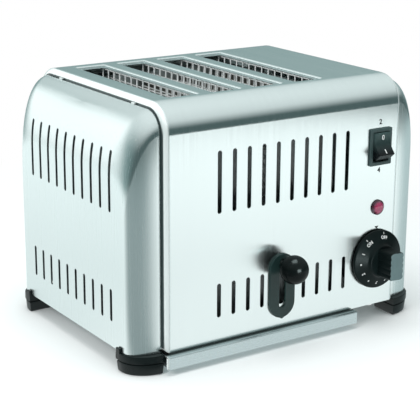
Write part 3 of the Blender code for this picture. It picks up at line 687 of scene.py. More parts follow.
def blend_colours(made, factor, first, second):
    fresh = node(made, "ShaderNodeMix", {"data_type": "RGBA"}, Factor=factor)
    for colour, entry in ((first, fresh.inputs[6]), (second, fresh.inputs[7])):
        plug(made, (*colour, 1.0) if isinstance(colour, tuple) else colour, entry)
    return fresh.outputs[2]


def mottled(made, texture, first, second):
    """From the first colour to the second over the middle of a texture's range."""
    return blend_colours(made, spread(made, texture, 0.0, 1.0), first, second)


def relief(made, shader, height, strength, distance):
    bump = node(made, "ShaderNodeBump", Height=height, Strength=strength, Distance=distance)
    feed(made, shader, Normal=bump.outputs["Normal"])


def shade(colour, factor):
    return tuple(min(1.0, c * factor) for c in colour)


def axis_places(made):
    place = node(made, "ShaderNodeTexCoord").outputs["Object"]
    apart = node(made, "ShaderNodeSeparateXYZ", Vector=place)
    return [apart.outputs[axis] for axis in "XYZ"]


def from_middle(made, middle_z):
    """How far a point lies from a front-to-back axis through the controls."""
    x, _, z = axis_places(made)
    flat = node(made, "ShaderNodeCombineXYZ", X=x, Z=z).outputs[0]
    return vector_calculated(made, "DISTANCE", flat, (controls_x, 0, middle_z))


def brushed(name, colour, grain, roughness, contrast=0.05, around="Z", turn=0.0):
    """Brushed sheet: grain says how fast the texture changes along x, y and z, per metre."""
    made, shader = new_look(name, colour, roughness, 1.0)
    fine = noise(made, grain, 5.0, 0.7)
    cloud = noise(made, cloud_scale, 2.0, 0.5)
    dark, pale = shade(colour, 1 - contrast), shade(colour, 1 + contrast)
    streaks = mottled(made, fine, dark, pale)
    tone = blend_colours(made, spread(made, cloud, 0.0, cloud_share), streaks, dark)
    relief(made, shader, fine, brush_strength, brush_depth)
    tangent = node(made, "ShaderNodeTangent", {"direction_type": "RADIAL", "axis": around})
    feed(
        made, shader, Base_Color=tone, Tangent=tangent.outputs["Tangent"],
        Roughness=spread(made, fine, roughness - 0.04, roughness + 0.05),
        Anisotropic=brush_share, Anisotropic_Rotation=turn,
    )
    return made, shader, tone


def moulded(name, colour, roughness, grain=900.0, height=0.00003, specular=0.5):
    """Moulded plastic or rubber with a fine skin and a little handling wear."""
    made, shader = new_look(name, colour, roughness, specular=specular)
    skin = noise(made, grain, 3.0)
    wear = noise(made, 45)
    feed(made, shader, Base_Color=mottled(made, wear, shade(colour, 0.85), shade(colour, 1.25)))
    feed(made, shader, Roughness=spread(made, wear, roughness - 0.05, roughness + 0.08))
    relief(made, shader, skin, 0.25, height)
    return made


def plated(name, colour, roughness, spangle=0.0, metallic=1.0):
    """Plated wire or zinc-coated sheet, with spangles where spangle is over zero."""
    made, shader = new_look(name, colour, roughness, metallic)
    dull = noise(made, 60)
    tone = mottled(made, dull, shade(colour, 0.86), shade(colour, 1.06))
    if spangle:
        flakes = cells(made, 160, "Color")
        apart = node(made, "ShaderNodeSeparateColor", Color=flakes).outputs["Red"]
        tone = blend_colours(made, spread(made, apart, 0.0, spangle, 0.0, 1.0), tone, shade(colour, 0.6))
    feed(made, shader, Base_Color=tone)
    feed(made, shader, Roughness=spread(made, dull, roughness - 0.04, roughness + 0.08))
    return made


def wrap_look():
    """Brushed sheet with duller slot collars, a painted highlight on its rounded side edges, and painted
    shade on its folded sides and in a thin line at its seams.
    """
    made, shader, tone = brushed("brushed_wrap", steel_colour, (1100, 6, 6), 0.20, 0.03, "X", 0.25)
    x, y, z = axis_places(made)
    across = calculated(made, "ABSOLUTE", x)
    front = shift.y + slot_middle_y - slot_length / 2 - slot_round
    back = shift.y + slot_middle_y + slot_length / 2 + slot_round
    collar = product(
        made,
        past(made, y, front - collar_fade - collar_margin, front - collar_margin),
        before(made, y, back + collar_margin, back + collar_margin + collar_fade),
        before(made, z, body_height - collar_top - collar_fade, body_height - collar_top),
        past(made, z, body_height - collar_foot, body_height - collar_foot + collar_fade),
    )
    # Painted highlight: the rounded side edges are painted paler and made less metallic.
    highlight_start = half_wrap - wrap_edge + highlight_inset
    edge = past(made, across, highlight_start, highlight_start + highlight_fade)
    # Painted shade: the folded sides below the top bend are painted dark, and so is a thin line at the
    # very edge, where the wrap meets the end caps.
    upright = before(made, z, body_height - wrap_radius, body_height - wrap_radius / 2)
    side = product(made, upright, past(made, across, half_wrap - seam_shade_width, half_wrap - seam_shade_fade))
    line = past(made, across, half_wrap - shade_line_width, half_wrap - shade_line_fade)
    pale = blend_colours(made, collar, tone, collar_colour)
    pale = blend_colours(made, edge, pale, painted_highlight_colour)
    pale = blend_colours(made, side, pale, seam_shade_colour)
    feed(made, shader, Base_Color=blend_colours(made, line, pale, seam_shade_colour))
    metal = [spread(made, mask, 1.0, dull_metal_share, 0.0, 1.0) for mask in (collar, edge)]
    feed(made, shader, Metallic=product(made, *metal))
    return made


def lamp_look():
    """Red lens with painted shade towards its rim, and a fine grid moulded behind its face."""
    made, shader = new_look("lamp_red", (0.62, 0.06, 0.20), 0.16, 0.0, 0.6)
    rim_shade = past(made, from_middle(made, lamp_z), lamp_shade_start, lamp_shade_radius)
    grid = cells(made, 900)
    face = blend_colours(made, past(made, grid, 0.1, 0.8), (0.52, 0.075, 0.17), (0.30, 0.025, 0.09))
    # Painted shade: the lens is painted nearly black towards its rim.
    feed(made, shader, Base_Color=blend_colours(made, rim_shade, face, (0.045, 0.008, 0.022)))
    relief(made, shader, grid, 0.2, lamp_grid_depth)
    feed(made, shader, Subsurface_Weight=0.2, Subsurface_Scale=lamp_scatter)
    return made


def dial_look():
    """Black moulding with fine turned rings on its cone, and a paler grey-green end on its grip, a painted
    sheen.
    """
    made, shader = new_look("dial_plastic", (0.014, 0.020, 0.020), 0.34, specular=0.08)
    turns = calculated(made, "MULTIPLY", from_middle(made, timer_z), 2 * math.pi / dial_ring_pitch)
    relief(made, shader, calculated(made, "SINE", turns), 0.25, dial_ring_depth)
    wear = noise(made, 60)
    grip_end = place_of("timer_knob")[0].y + shift.y
    sheen_end = grip_end + sheen_depth
    # Painted sheen: the grip's flat end face is painted a paler grey green.
    end = before(made, axis_places(made)[1], sheen_end - sheen_fade, sheen_end)
    black = mottled(made, wear, (0.002, 0.004, 0.004), (0.004, 0.007, 0.007))
    painted_light = mottled(made, wear, (0.058, 0.080, 0.083), (0.078, 0.104, 0.107))
    feed(made, shader, Base_Color=blend_colours(made, end, black, painted_light))
    feed(made, shader, Roughness=spread(made, wear, 0.30, 0.42))
    return made


def tray_look():
    """Brushed sheet with a painted highlight on its left end, and painted shadow on top of its lip, where
    it lies under the panel.
    """
    made, shader, tone = brushed("brushed_tray", (0.56, 0.65, 0.66), (6, 1100, 1100), 0.28, 0.04, "X")
    x, y, z = axis_places(made)
    low, high = place_of("crumb_tray")
    # Painted shadow: the top of the lip behind its front edge is painted dark, under the panel.
    shadow = low.y + shift.y + tray_shadow
    top = product(
        made,
        past(made, z, high.z - 2 * gap, high.z - gap),
        past(made, y, shadow, shadow + tray_shadow_fade),
    )
    # Painted highlight: the left end is painted pale and made less metallic.
    end = before(made, x, low.x + gap / 3, low.x + gap)
    tone = blend_colours(made, end, tone, painted_highlight_colour)
    feed(made, shader, Base_Color=blend_colours(made, top, tone, (0.04, 0.06, 0.06)))
    feed(made, shader, Metallic=spread(made, end, 1.0, 0.3, 0.0, 1.0))
    return made


def rocker_look():
    """Black gloss whose upper half is painted a lighter, mottled grey green as a painted highlight."""
    made, shader = new_look("rocker_gloss", (0.004, 0.006, 0.006), 0.25, specular=0.15)
    wear = noise(made, 160)
    painted_light = mottled(made, wear, (0.045, 0.080, 0.078), (0.060, 0.100, 0.098))
    # Painted highlight: the rocker is painted lighter towards its upper half.
    upper = past(made, axis_places(made)[2], switch_z - painted_light_below, switch_z + painted_light_above)
    feed(made, shader, Base_Color=blend_colours(made, upper, (0.004, 0.006, 0.007), painted_light))
    feed(made, shader, Roughness=spread(made, wear, 0.20, 0.32))
    return made


def mica_look():
    """Mica board with darker flakes and a darker cloud, all coloured dark as painted shade deep inside the
    slots.
    """
    made, shader = new_look("mica_board", (0.58, 0.50, 0.38), 0.55)
    cloud = noise(made, 30, 5.0)
    flakes = past(made, cells(made, 120), 0.1, 0.7)
    # Painted shade: the board is coloured dark throughout, standing for the shade deep inside the slots.
    board = blend_colours(made, flakes, (0.17, 0.165, 0.14), (0.10, 0.10, 0.085))
    shaded_board = blend_colours(made, spread(made, cloud, 0.0, 0.6), board, (0.05, 0.05, 0.045))
    feed(made, shader, Base_Color=shaded_board)
    feed(made, shader, Roughness=spread(made, cloud, 0.45, 0.65))
    return made


wrap_steel = wrap_look()
cap_steel = brushed("brushed_cap", steel_colour, (1100, 1100, 6), 0.24, 0.03)[0]
folded_steel = tray_look()
tab_steel = plated("tab_steel", (0.92, 0.96, 0.95), 0.30)
inner_steel = plated("zinc_sheet", (0.42, 0.45, 0.45), 0.42, 0.4)
bright_plate = plated("bright_plate", (0.80, 0.80, 0.80), 0.20)
bright_wire = plated("bright_wire", (0.95, 1.0, 0.99), 0.35, metallic=0.10)
black_plastic = moulded("black_plastic", (0.008, 0.012, 0.012), 0.34, specular=0.20)
black_gloss = moulded("black_gloss", (0.002, 0.003, 0.003), 0.20, 400.0, 0.00001, 0.09)
black_rubber = moulded("black_rubber", (0.004, 0.008, 0.008), 0.30, specular=0.25)
plate_plastic = moulded("plate_plastic", (0.016, 0.036, 0.034), 0.22, specular=0.30)
bezel_plastic = moulded("bezel_plastic", (0.055, 0.088, 0.088), 0.34, specular=0.30)
white_plastic = moulded("white_plastic", (0.72, 0.71, 0.66), 0.45)
dark_ink = moulded("dark_ink", (0.012, 0.014, 0.014), 0.5)
white_ink = moulded("white_ink", (0.82, 0.84, 0.82), 0.5)
lamp_red = lamp_look()
dial_plastic = dial_look()
rocker_gloss = rocker_look()

cad_looks = {
    "brushed_steel": wrap_steel,
    "tray_steel": inner_steel,
    "inner_steel": inner_steel,
    "plated_steel": bright_plate,
    "bright_wire": bright_wire,
    "heater_board": mica_look(),
    "black_plastic": black_plastic,
    "black_gloss": black_gloss,
    "black_rubber": black_rubber,
    "lamp_red": lamp_red,
    "white_plastic": white_plastic,
}


# CAD nodes that are shown as they are
def dress_cad_nodes():
    """Every carried-over CAD node takes the finish of its material slot."""
    slots = {part["node"]: part["material_slot"] for part in frame["record"]["subparts"]}
    for name, made in frame["nodes"].items():
        made.data.materials.clear()
        made.data.materials.append(cad_looks[slots[name]])


def soften_cad_nodes():
    """Small rounded edges and smooth shading, as modifiers."""
    group = bpy.data.node_groups.new("smooth_by_angle", "GeometryNodeTree")
    for direction in ("INPUT", "OUTPUT"):
        group.interface.new_socket("Geometry", in_out=direction, socket_type="NodeSocketGeometry")
    start, end = group.nodes.new("NodeGroupInput"), group.nodes.new("NodeGroupOutput")
    faces = group.nodes.new("GeometryNodeSetShadeSmooth")
    edges = group.nodes.new("GeometryNodeSetShadeSmooth")
    edges.domain = "EDGE"
    edges.inputs["Shade Smooth"].default_value = False
    angle = group.nodes.new("GeometryNodeInputMeshEdgeAngle")
    compare = group.nodes.new("FunctionNodeCompare")
    compare.inputs[1].default_value = math.radians(cad_smooth_degrees)
    group.links.new(angle.outputs["Unsigned Angle"], compare.inputs[0])
    group.links.new(start.outputs[0], faces.inputs["Geometry"])
    group.links.new(faces.outputs[0], edges.inputs["Geometry"])
    group.links.new(compare.outputs[0], edges.inputs["Selection"])
    group.links.new(edges.outputs[0], end.inputs[0])
    for made in frame["nodes"].values():
        made.modifiers.new("joined", "WELD").merge_threshold = cad_weld_reach
        bevel = made.modifiers.new("edges", "BEVEL")
        bevel.width, bevel.segments, bevel.limit_method = cad_edge, 2, "ANGLE"
        bevel.angle_limit = math.radians(cad_edge_degrees)
        made.modifiers.new("smooth", "NODES").node_group = group


# Wrap cover
def wrap_path():
    """(y, z) points and inward directions along the wrap, from the front fold to the back fold."""
    path = [(-half_depth + wrap_fold, foot_height, 0.0, 1.0), (-half_depth, foot_height, 1.0, 1.0)]
    centre_z = body_height - wrap_radius
    for side, first in ((-1, math.pi), (1, math.pi / 2)):
        centre_y = side * (half_depth - wrap_radius)
        for y, z in arc(wrap_steps, first, first - math.pi / 2):
            path.append((centre_y + wrap_radius * y, centre_z + wrap_radius * z, -y, -z))
    path.append((half_depth, foot_height, -1.0, 1.0))
    path.append((half_depth - wrap_fold, foot_height, 0.0, 1.0))
    return path


def wrap_section():
    """(x, depth below the outer face) of the sheet, its rounded side edges and its return flanges."""
    flat, inner = half_wrap - wrap_edge, wrap_edge - sheet
    right = [(flat + wrap_edge * b, wrap_edge - wrap_edge * a) for a, b in arc(edge_steps)]
    right += [(half_wrap, wrap_flange), (half_wrap - sheet, wrap_flange)]
    right += [(flat + inner * b, wrap_edge - inner * a) for a, b in arc(edge_steps, math.pi / 2, 0.0)]
    return right + [(-x, depth) for x, depth in reversed(right)]


def vent_cutters(places, span, surface, inward):
    made = []
    for place in places:
        made.append(flared(
            lambda grow: stadium(
                vent_width + 2 * grow, span[0] - grow, span[1] + grow, place, vent_steps
            ),
            "Y", surface, inward, overrun, rim,
        ))
    return made


def make_wrap():
    rings = []
    for y, z, inward_y, inward_z in wrap_path():
        rings.append([(x, y + inward_y * d, z + inward_z * d) for x, d in wrap_section()])
    cover = loft(rings)
    bottom = body_height - sheet - slot_collar
    collars, mouths = [], []
    for x in slot_centres:
        outer = rounded(
            slot_width + 2 * sheet, slot_length + 2 * sheet, slot_corner + sheet, x, slot_middle_y
        )
        collars.append(prism(outer, "Z", bottom, body_height - sheet / 2))
        mouths.append(flared(
            lambda grow: rounded(
                slot_width + 2 * grow, slot_length + 2 * grow, slot_corner + grow, x, slot_middle_y
            ),
            "Z", body_height, -1, slot_collar + overrun, slot_round, 4,
        ))
    cover = carve(cover, "UNION", collars)
    cover = carve(cover, "DIFFERENCE", mouths)
    places = [-half_wrap + front_vent_inset + front_vent_pitch * i for i in range(front_vent_count)]
    plate_half = size_of("lever_plate").x / 2
    beside = [x for x in places if abs(x - lever_x) > plate_half]
    holes = vent_cutters(places, front_vent_upper, -half_depth, 1)
    holes += vent_cutters(beside, front_vent_lower, -half_depth, 1)
    holes += vent_cutters(places, front_vent_upper, half_depth, -1)
    front = ("Y", -half_depth - overrun, -half_depth + overrun)
    back = ("Y", half_depth - overrun, half_depth + overrun)
    low, high = place_of("switch_housing")
    inset = Vector((switch_hole_inset, 0, switch_hole_inset))
    low, high = low + inset, high - inset
    holes.append(prism(stadium(lever_slot_width, *panel_slot, lever_x, lever_slot_steps), *front))
    holes.append(box((low.x, front[1], low.z), (high.x, front[2], high.z)))
    holes.append(prism(circle(shaft_hole_radius, hole_sides, controls_x, timer_z), *front))
    holes.append(prism(circle(lamp_hole_radius, hole_sides, controls_x, lamp_z), *front))
    holes.append(prism(circle(gland_hole_radius, hole_sides, controls_x, gland_z), *back))
    cover = carve(cover, "DIFFERENCE", holes)
    piece("wrap_sheet", cover, wrap_steel, "root", "brushed_steel", "wrap_cover")


# End caps
def cap_ring(turn, inset=0.0):
    """(distance past the seam, y, z) points of the cap's surface at one angle from seam to face."""
    fall = 1 - math.cos(turn)
    half_y = cap_half_depth - cap_corner * fall - inset
    top = cap_top - cap_crown * fall - inset
    radius_y = cap_radius + cap_softer_side * fall - inset
    radius_z = cap_radius + cap_softer_top * fall - inset
    out = cap_reach * math.sin(turn)
    ring = [(out, -half_y, foot_height)]
    for side, first in ((-1, math.pi), (1, math.pi / 2)):
        for y, z in arc(cap_steps, first, first - math.pi / 2):
            ring.append((out, side * (half_y - radius_y) + radius_y * y, top - radius_z + radius_z * z))
    ring.append((out, half_y, foot_height))
    return ring


def make_cap(name, side):
    rings = [cap_ring(0.0, cap_flange), cap_ring(0.0, cap_lip)]
    left = math.pi / 2 - cap_first_turn
    rings += [cap_ring(cap_first_turn + left * i / cap_rings) for i in range(cap_rings + 1)]
    points = [(side * (seam_x + x), y, z) for ring in rings for x, y, z in ring]
    count = len(rings[0])
    faces = [list(range(len(points) - count, len(points)))]
    for r in range(len(rings) - 1):
        for i in range(count - 1):
            j = r * count + i
            faces.append([j, j + 1, j + 1 + count, j + count])
    made = built(points, faces)
    made.faces.ensure_lookup_table()
    if made.faces[0].normal.x * side < 0:
        bmesh.ops.reverse_faces(made, faces=made.faces)
    shell = evaluated(
        finished(made), "SOLIDIFY", thickness=sheet, offset=-1.0, use_even_offset=True
    )
    shell.shade_smooth()
    shell.set_sharp_from_angle(angle=math.radians(cap_sharp_degrees))
    last = cap_half_depth - cap_corner - end_vent_margin
    pitch = 2 * last / (end_vent_count - 1)
    ends = side * (half_width + overrun), side * (half_width - cap_reach / 2)
    cutters = []
    for span in (end_vent_upper, end_vent_lower):
        for i in range(end_vent_count):
            cutters.append(prism(stadium(vent_width, *span, -last + pitch * i, vent_steps), "X", *ends))
    cap = carve(shell.copy(), "DIFFERENCE", cutters)
    cap.shade_smooth()
    cap.set_sharp_from_angle(angle=math.radians(cap_sharp_degrees))
    borrow_normals(cap, shell)
    piece(f"{name}_cap_shell", cap, cap_steel, "root", "brushed_steel", f"{name}_end_cap", weighted=False)


def make_tabs(name, side):
    """Tabs that hold the cover to an end cap."""
    tabs = []
    ends = sorted((side * (half_wrap - tab_overlap), side * (half_wrap + tab_reach)))
    for y in (-tab_place, tab_place):
        tabs.append(box(
            (ends[0], y - tab_half, cap_top - tab_overlap), (ends[1], y + tab_half, cap_top + tab_rise)
        ))
    tabs = soften(merged(tabs), tab_edge, 2)
    piece(f"{name}_seam_tabs", tabs, tab_steel, "root", "brushed_steel", angle=50.0)


# Wire guards
def make_guard(i, name, side):
    node_name = f"bread_guard_{i}_{name}"
    low, high = place_of(node_name)
    high.z += guard_rise
    face = low.x if side > 0 else high.x
    upright_x = face + side * wire
    cross_x = face + side * wire_layers * wire
    rods = []
    count = int((high.y - low.y - 2 * wire) / wire_pitch)
    start = (low.y + high.y - wire_pitch * count) / 2
    for k in range(count + 1):
        y = start + wire_pitch * k
        rods.append(tube([(upright_x, y, low.z), (upright_x, y, high.z - wire)], wire, wire_sides))
    z = high.z - wire_first
    while z > low.z + wire:
        rods.append(tube([(cross_x, low.y, z), (cross_x, high.y, z)], wire, wire_sides))
        z -= wire_pitch
    piece(
        f"wire_guard_{i}_{name}", merged(rods), bright_wire, "root", "bright_wire", node_name, angle=50.0
    )


# Lever plate and ball
def make_lever_plate():
    low, high = place_of("lever_plate")
    radius = (high.x - low.x) / 2
    upper, lower = arc(plate_steps, 0.0, math.pi), arc(plate_steps, math.pi, 2 * math.pi)
    outline = [(lever_x + radius * a, high.z - radius + radius * b) for a, b in upper]
    for a, b in lower:
        u, v = radius * a, radius * b
        if abs(u) < plate_tip_width:
            if outline[-1][0] < lever_x - plate_tip_width:
                outline.append((lever_x - plate_tip_width, low.z + plate_tip))
                outline.append((lever_x, low.z))
                outline.append((lever_x + plate_tip_width, low.z + plate_tip))
        else:
            outline.append((lever_x + u, low.z + plate_tip + radius + v))
    back = -half_depth - gap
    mesh = prism(outline, "Y", back - plate_thickness, back)
    slot = stadium(lever_slot_width, *plate_slot, lever_x, lever_slot_steps)
    mesh = carve(mesh, "DIFFERENCE", [prism(slot, "Y", back - overrun, back + overrun)])
    plate = soften(mesh, plate_edge, 2, 40.0)
    piece("lever_escutcheon", plate, plate_plastic, "root", "black_plastic", "lever_plate")


def make_ball():
    low, high = place_of("ball_knob")
    radius = (high.x - low.x) / 2
    middle = low.y + radius
    touch = math.asin(neck_radius / radius)
    profile = [(r, high.y - rise) for r, rise in neck_profile]
    profile.append((neck_radius * neck_share, middle + radius * math.cos(touch) + neck_blend))
    profile += [(radius * b, middle + radius * a) for a, b in arc(ball_rings, touch, math.pi)[1:-1]]
    profile.append((point_radius, low.y))
    ball = turned(profile, ball_sides, "Y", lever_x, knob_z)
    piece("knob_ball", ball, black_gloss, "carriage", "black_gloss", "ball_knob", angle=45.0)


# Timer dial
def cone_point(radius, clockwise, lift=0.0):
    """A point on the dial's cone, at a radius and an angle in degrees clockwise from the top."""
    hub = dial_back - dial_rim - dial_cone
    start_r, start_y = dial_radius - dial_rim_profile[-1][0], dial_back - dial_rim
    end_r, end_y = hub_radius + hub_foot, hub + hub_foot
    share = (start_r - radius) / (start_r - end_r)
    slope = Vector((end_r - start_r, end_y - start_y)).normalized()
    normal = Vector((-slope.y, slope.x))
    if normal.y > 0:
        normal = -normal
    r = radius + normal.x * lift
    y = start_y + (end_y - start_y) * share + normal.y * lift
    turn = math.radians(clockwise)
    return Vector((controls_x + r * math.sin(turn), y, timer_z + r * math.cos(turn)))


def grip_outline():
    pitch = grip_height / grip_scallop_count
    half = grip_width / 2
    right = []
    for i in range(grip_scallop_count):
        low = -grip_height / 2 + pitch * i
        for k in range(grip_scallop_steps):
            share = k / grip_scallop_steps
            u = half - grip_scallop * (1 - math.sin(math.pi * share) ** grip_scallop_power)
            v = low + pitch * share
            short = max(0.0, abs(v) - (grip_height / 2 - grip_corner)) / grip_corner
            right.append((u - grip_corner * (1 - math.sqrt(1 - short * short)), v))
    outline = right + [(-u, -v) for u, v in right]
    return [(controls_x + u, timer_z + v) for u, v in outline]


def words_mesh(words, height):
    """Flat words as a thin solid: x to the right, y up, z out of the page."""
    curve = bpy.data.curves.new("words", "FONT")
    curve.body = words
    curve.size = height / capital_share
    curve.extrude = mark_depth / 2
    curve.offset = height * bold_share
    curve.align_x = "CENTER"
    curve.align_y = "CENTER"
    curve.resolution_u = 3
    made = bmesh.new()
    made.from_mesh(baked(placed("words", curve)))
    bmesh.ops.remove_doubles(made, verts=made.verts, dist=1e-7)
    bmesh.ops.triangulate(made, faces=made.faces)
    return finished(made)


def flat_mark(outline):
    return prism(outline, "Z", -mark_depth / 2, mark_depth / 2)


def on_dial(mesh, radius, clockwise):
    """Bends flat words on to the cone, their feet towards the hub."""
    for vertex in mesh.vertices:
        u, v, w = vertex.co
        vertex.co = cone_point(radius + v * cone_flat_share, clockwise + math.degrees(u / radius), w)
    return mesh


def on_panel(mesh, x, z):
    for vertex in mesh.vertices:
        u, v, w = vertex.co
        vertex.co = (x + u, -half_depth - mark_depth / 2 - w, z + v)
    return mesh


def make_dial():
    hub = dial_back - dial_rim - dial_cone
    profile = [(dial_radius - inset, dial_back - rise) for inset, rise in dial_rim_profile]
    profile += [(hub_radius + hub_foot * a, hub + hub_foot * b) for a, b in hub_foot_shares]
    profile += [(hub_radius - hub_step * a, hub - hub_step * b) for a, b in hub_step_shares]
    body = turned(profile, dial_sides, "Y", controls_x, timer_z)
    grip_end = place_of("timer_knob")[0].y
    grip = soften(prism(grip_outline(), "Y", grip_end, hub + hub_step), grip_edge, 3, 50.0)
    knob = carve(body, "UNION", [grip])
    piece("dial_moulded", knob, dial_plastic, "timer_dial", "black_plastic", "timer_knob", angle=38.0)
    marks = []
    for angle, words in dial_words:
        marks.append(on_dial(words_mesh(words, dial_word_height), word_radius, dial_rest - angle))
    for angle in dial_dots:
        marks.append(on_dial(flat_mark(circle(dot_radius, dot_sides)), mark_radius, dial_rest - angle))
    for angle in dial_ticks:
        right, up = tick_half_width, tick_half
        tick = flat_mark([(-right, -up), (right, -up), (right, up), (-right, up)])
        marks.append(on_dial(tick, mark_radius + tick_rise, dial_rest - angle))
    piece("dial_marks", merged(marks), white_ink, "timer_dial", "white_plastic", angle=30.0)


def make_panel_marks():
    arrow = flat_mark([(-arrow_half, arrow_rise), (arrow_half, arrow_rise), (0.0, -arrow_rise)])
    marks = [
        on_panel(words_mesh("2", panel_word_height), controls_x, switch_z + upper_word_rise),
        on_panel(words_mesh("4", panel_word_height), controls_x, switch_z - lower_word_drop),
        on_panel(arrow, controls_x, timer_z + dial_radius + arrow_gap),
    ]
    piece("panel_marks", merged(marks), dark_ink, "root", "black_plastic", angle=30.0)


# Lamp
def make_lamp():
    low, high = place_of("lamp_lens")
    radius = (high.x - low.x) / 2
    back = -half_depth - gap
    front = low.y
    rim_y = front + lamp_rise
    profile = [
        (lamp_foot_radius, high.y),
        (lamp_foot_radius, back),
        (radius - lamp_edge, back),
        (radius, back - lamp_edge),
        (radius, rim_y + lamp_bevel),
        (radius - lamp_bevel, rim_y),
        (radius - lamp_rim, rim_y - lamp_rim_step),
    ]
    dome = radius - lamp_rim - lamp_rim_step
    profile += [(dome * a, rim_y - (rim_y - front) * b) for a, b in arc(lamp_steps)[1:-1]]
    profile.append((point_radius, front))
    jewel = turned(profile, lamp_sides, "Y", controls_x, lamp_z)
    piece("lamp_jewel", jewel, lamp_red, "root", "lamp_red", "lamp_lens", angle=50.0)


# Rocker switch
def make_switch():
    low, high = place_of("switch_housing")
    half_x = size_of("rocker").x / 2 + gap
    half_z = (high.z - low.z) / 2 - bezel_border
    face, back, floor = low.y, -half_depth - gap, high.y - window_floor
    bezel = prism(
        rounded(high.x - low.x, high.z - low.z, bezel_corner, controls_x, switch_z), "Y", face, back
    )
    bezel = soften(bezel, bezel_edge, 3, 50.0)

    def window_outline(grow):
        grown = bezel_edge + grow
        return rounded(2 * (half_x + grow), 2 * (half_z + grow), grown, controls_x, switch_z)

    window = flared(window_outline, "Y", face, 1, floor - face, bezel_edge)
    out_x, out_z = half_x + switch_wall, half_z + switch_wall
    inner = box(
        (controls_x - out_x, back - bezel_overlap, switch_z - out_z),
        (controls_x + out_x, high.y, switch_z + out_z),
    )
    housing = carve(carve(bezel, "UNION", [inner]), "DIFFERENCE", [window])
    piece("switch_bezel", housing, bezel_plastic, "root", "black_plastic", "switch_housing", angle=38.0)


def rocker_point(out, up):
    """(y, z) of a point of the rocker, given in its own frame: out of its pivot and up along it."""
    tilt = math.radians(rocker_tilt)
    y = up * math.sin(tilt) - out * math.cos(tilt)
    z = up * math.cos(tilt) + out * math.sin(tilt)
    return -half_depth + rocker_pivot + y, switch_z + z


def rocker_face(up):
    return rocker_valley + (rocker_end - rocker_valley) * (abs(up) / rocker_half) ** rocker_power


def make_rocker():
    low, high = place_of("rocker")
    ups = [rocker_half * (1 - i / rocker_steps) for i in range(2 * rocker_steps + 1)]
    profile = [(rocker_face(up), up) for up in ups]
    profile += [
        (rocker_heel, -rocker_heel_half), (-rocker_root, -rocker_root),
        (-rocker_root, rocker_root), (rocker_heel, rocker_heel_half),
    ]
    outline = [rocker_point(out, up) for out, up in profile]
    cap = soften(prism(outline, "X", low.x, high.x), rocker_edge, 3, 30.0)
    piece("rocker_moulded", cap, rocker_gloss, "power_rocker", "black_gloss", "rocker", angle=32.0)
    ring = prism(stadium(ring_width, -ring_half, ring_half, 0.0, ring_steps), "Z", -mark_depth, mark_depth)
    hole = stadium(ring_hole_width, -ring_hole_half, ring_hole_half, 0.0, ring_steps)
    ring = carve(ring, "DIFFERENCE", [prism(hole, "Z", -overrun, overrun)])
    bar = box((-bar_half_width, -bar_half, -mark_depth), (bar_half_width, bar_half, mark_depth))
    for mesh, middle in ((ring, rocker_mark_place), (bar, -rocker_mark_place)):
        for vertex in mesh.vertices:
            u, v, w = vertex.co
            y, z = rocker_point(rocker_face(middle + v) + w, middle + v)
            vertex.co = (controls_x + u, y, z)
    piece("rocker_marks", merged([ring, bar]), white_ink, "power_rocker", "white_plastic", angle=30.0)


# Feet
def foot_ring(side_x, side_y, inset, z):
    low, high = place_of("rear_right_foot")
    reach, round_y = high.x - low.x, half_depth - low.y - foot_straight
    ring = [(low.x + inset, low.y + inset), (high.x - inset, low.y + inset)]
    for a, b in arc(foot_steps):
        ring.append((low.x + (reach - inset) * a, half_depth - round_y + (round_y - inset) * b))
    ring[-1] = (low.x + inset, half_depth - inset)
    return [(side_x * x, side_y * y, z) for x, y in ring]


def make_foot(name, side_x, side_y):
    """A rubber corner foot with a groove, an ear beside the end cap and a recess for the screw."""
    shoulder = foot_height - gap
    profile = list(foot_sole_profile)
    profile += [(foot_band + rise, inset) for rise, inset in foot_band_profile]
    profile += [(shoulder - drop, inset) for drop, inset in foot_top_profile]
    foot = loft([foot_ring(side_x, side_y, inset, z) for z, inset in profile])
    low, high = place_of("rear_right_foot")
    ends_x = sorted((side_x * (half_width + gap), side_x * high.x))
    ends_y = sorted((side_y * low.y, side_y * (low.y + ear_length)))
    ear = box((ends_x[0], ends_y[0], shoulder - ear_drop), (ends_x[1], ends_y[1], high.z))
    screw = f"{name}_foot_screw"
    x, y, _ = middle_of(screw)
    bore = prism(circle(size_of(screw).x / 2 + gap, bore_sides, x, y), "Z", -overrun, foot_recess)
    foot = carve(carve(foot, "UNION", [soften(ear, ear_edge, 3)]), "DIFFERENCE", [bore])
    piece(f"{name}_foot_pad", foot, black_rubber, "root", "black_rubber", f"{name}_foot", angle=50.0)


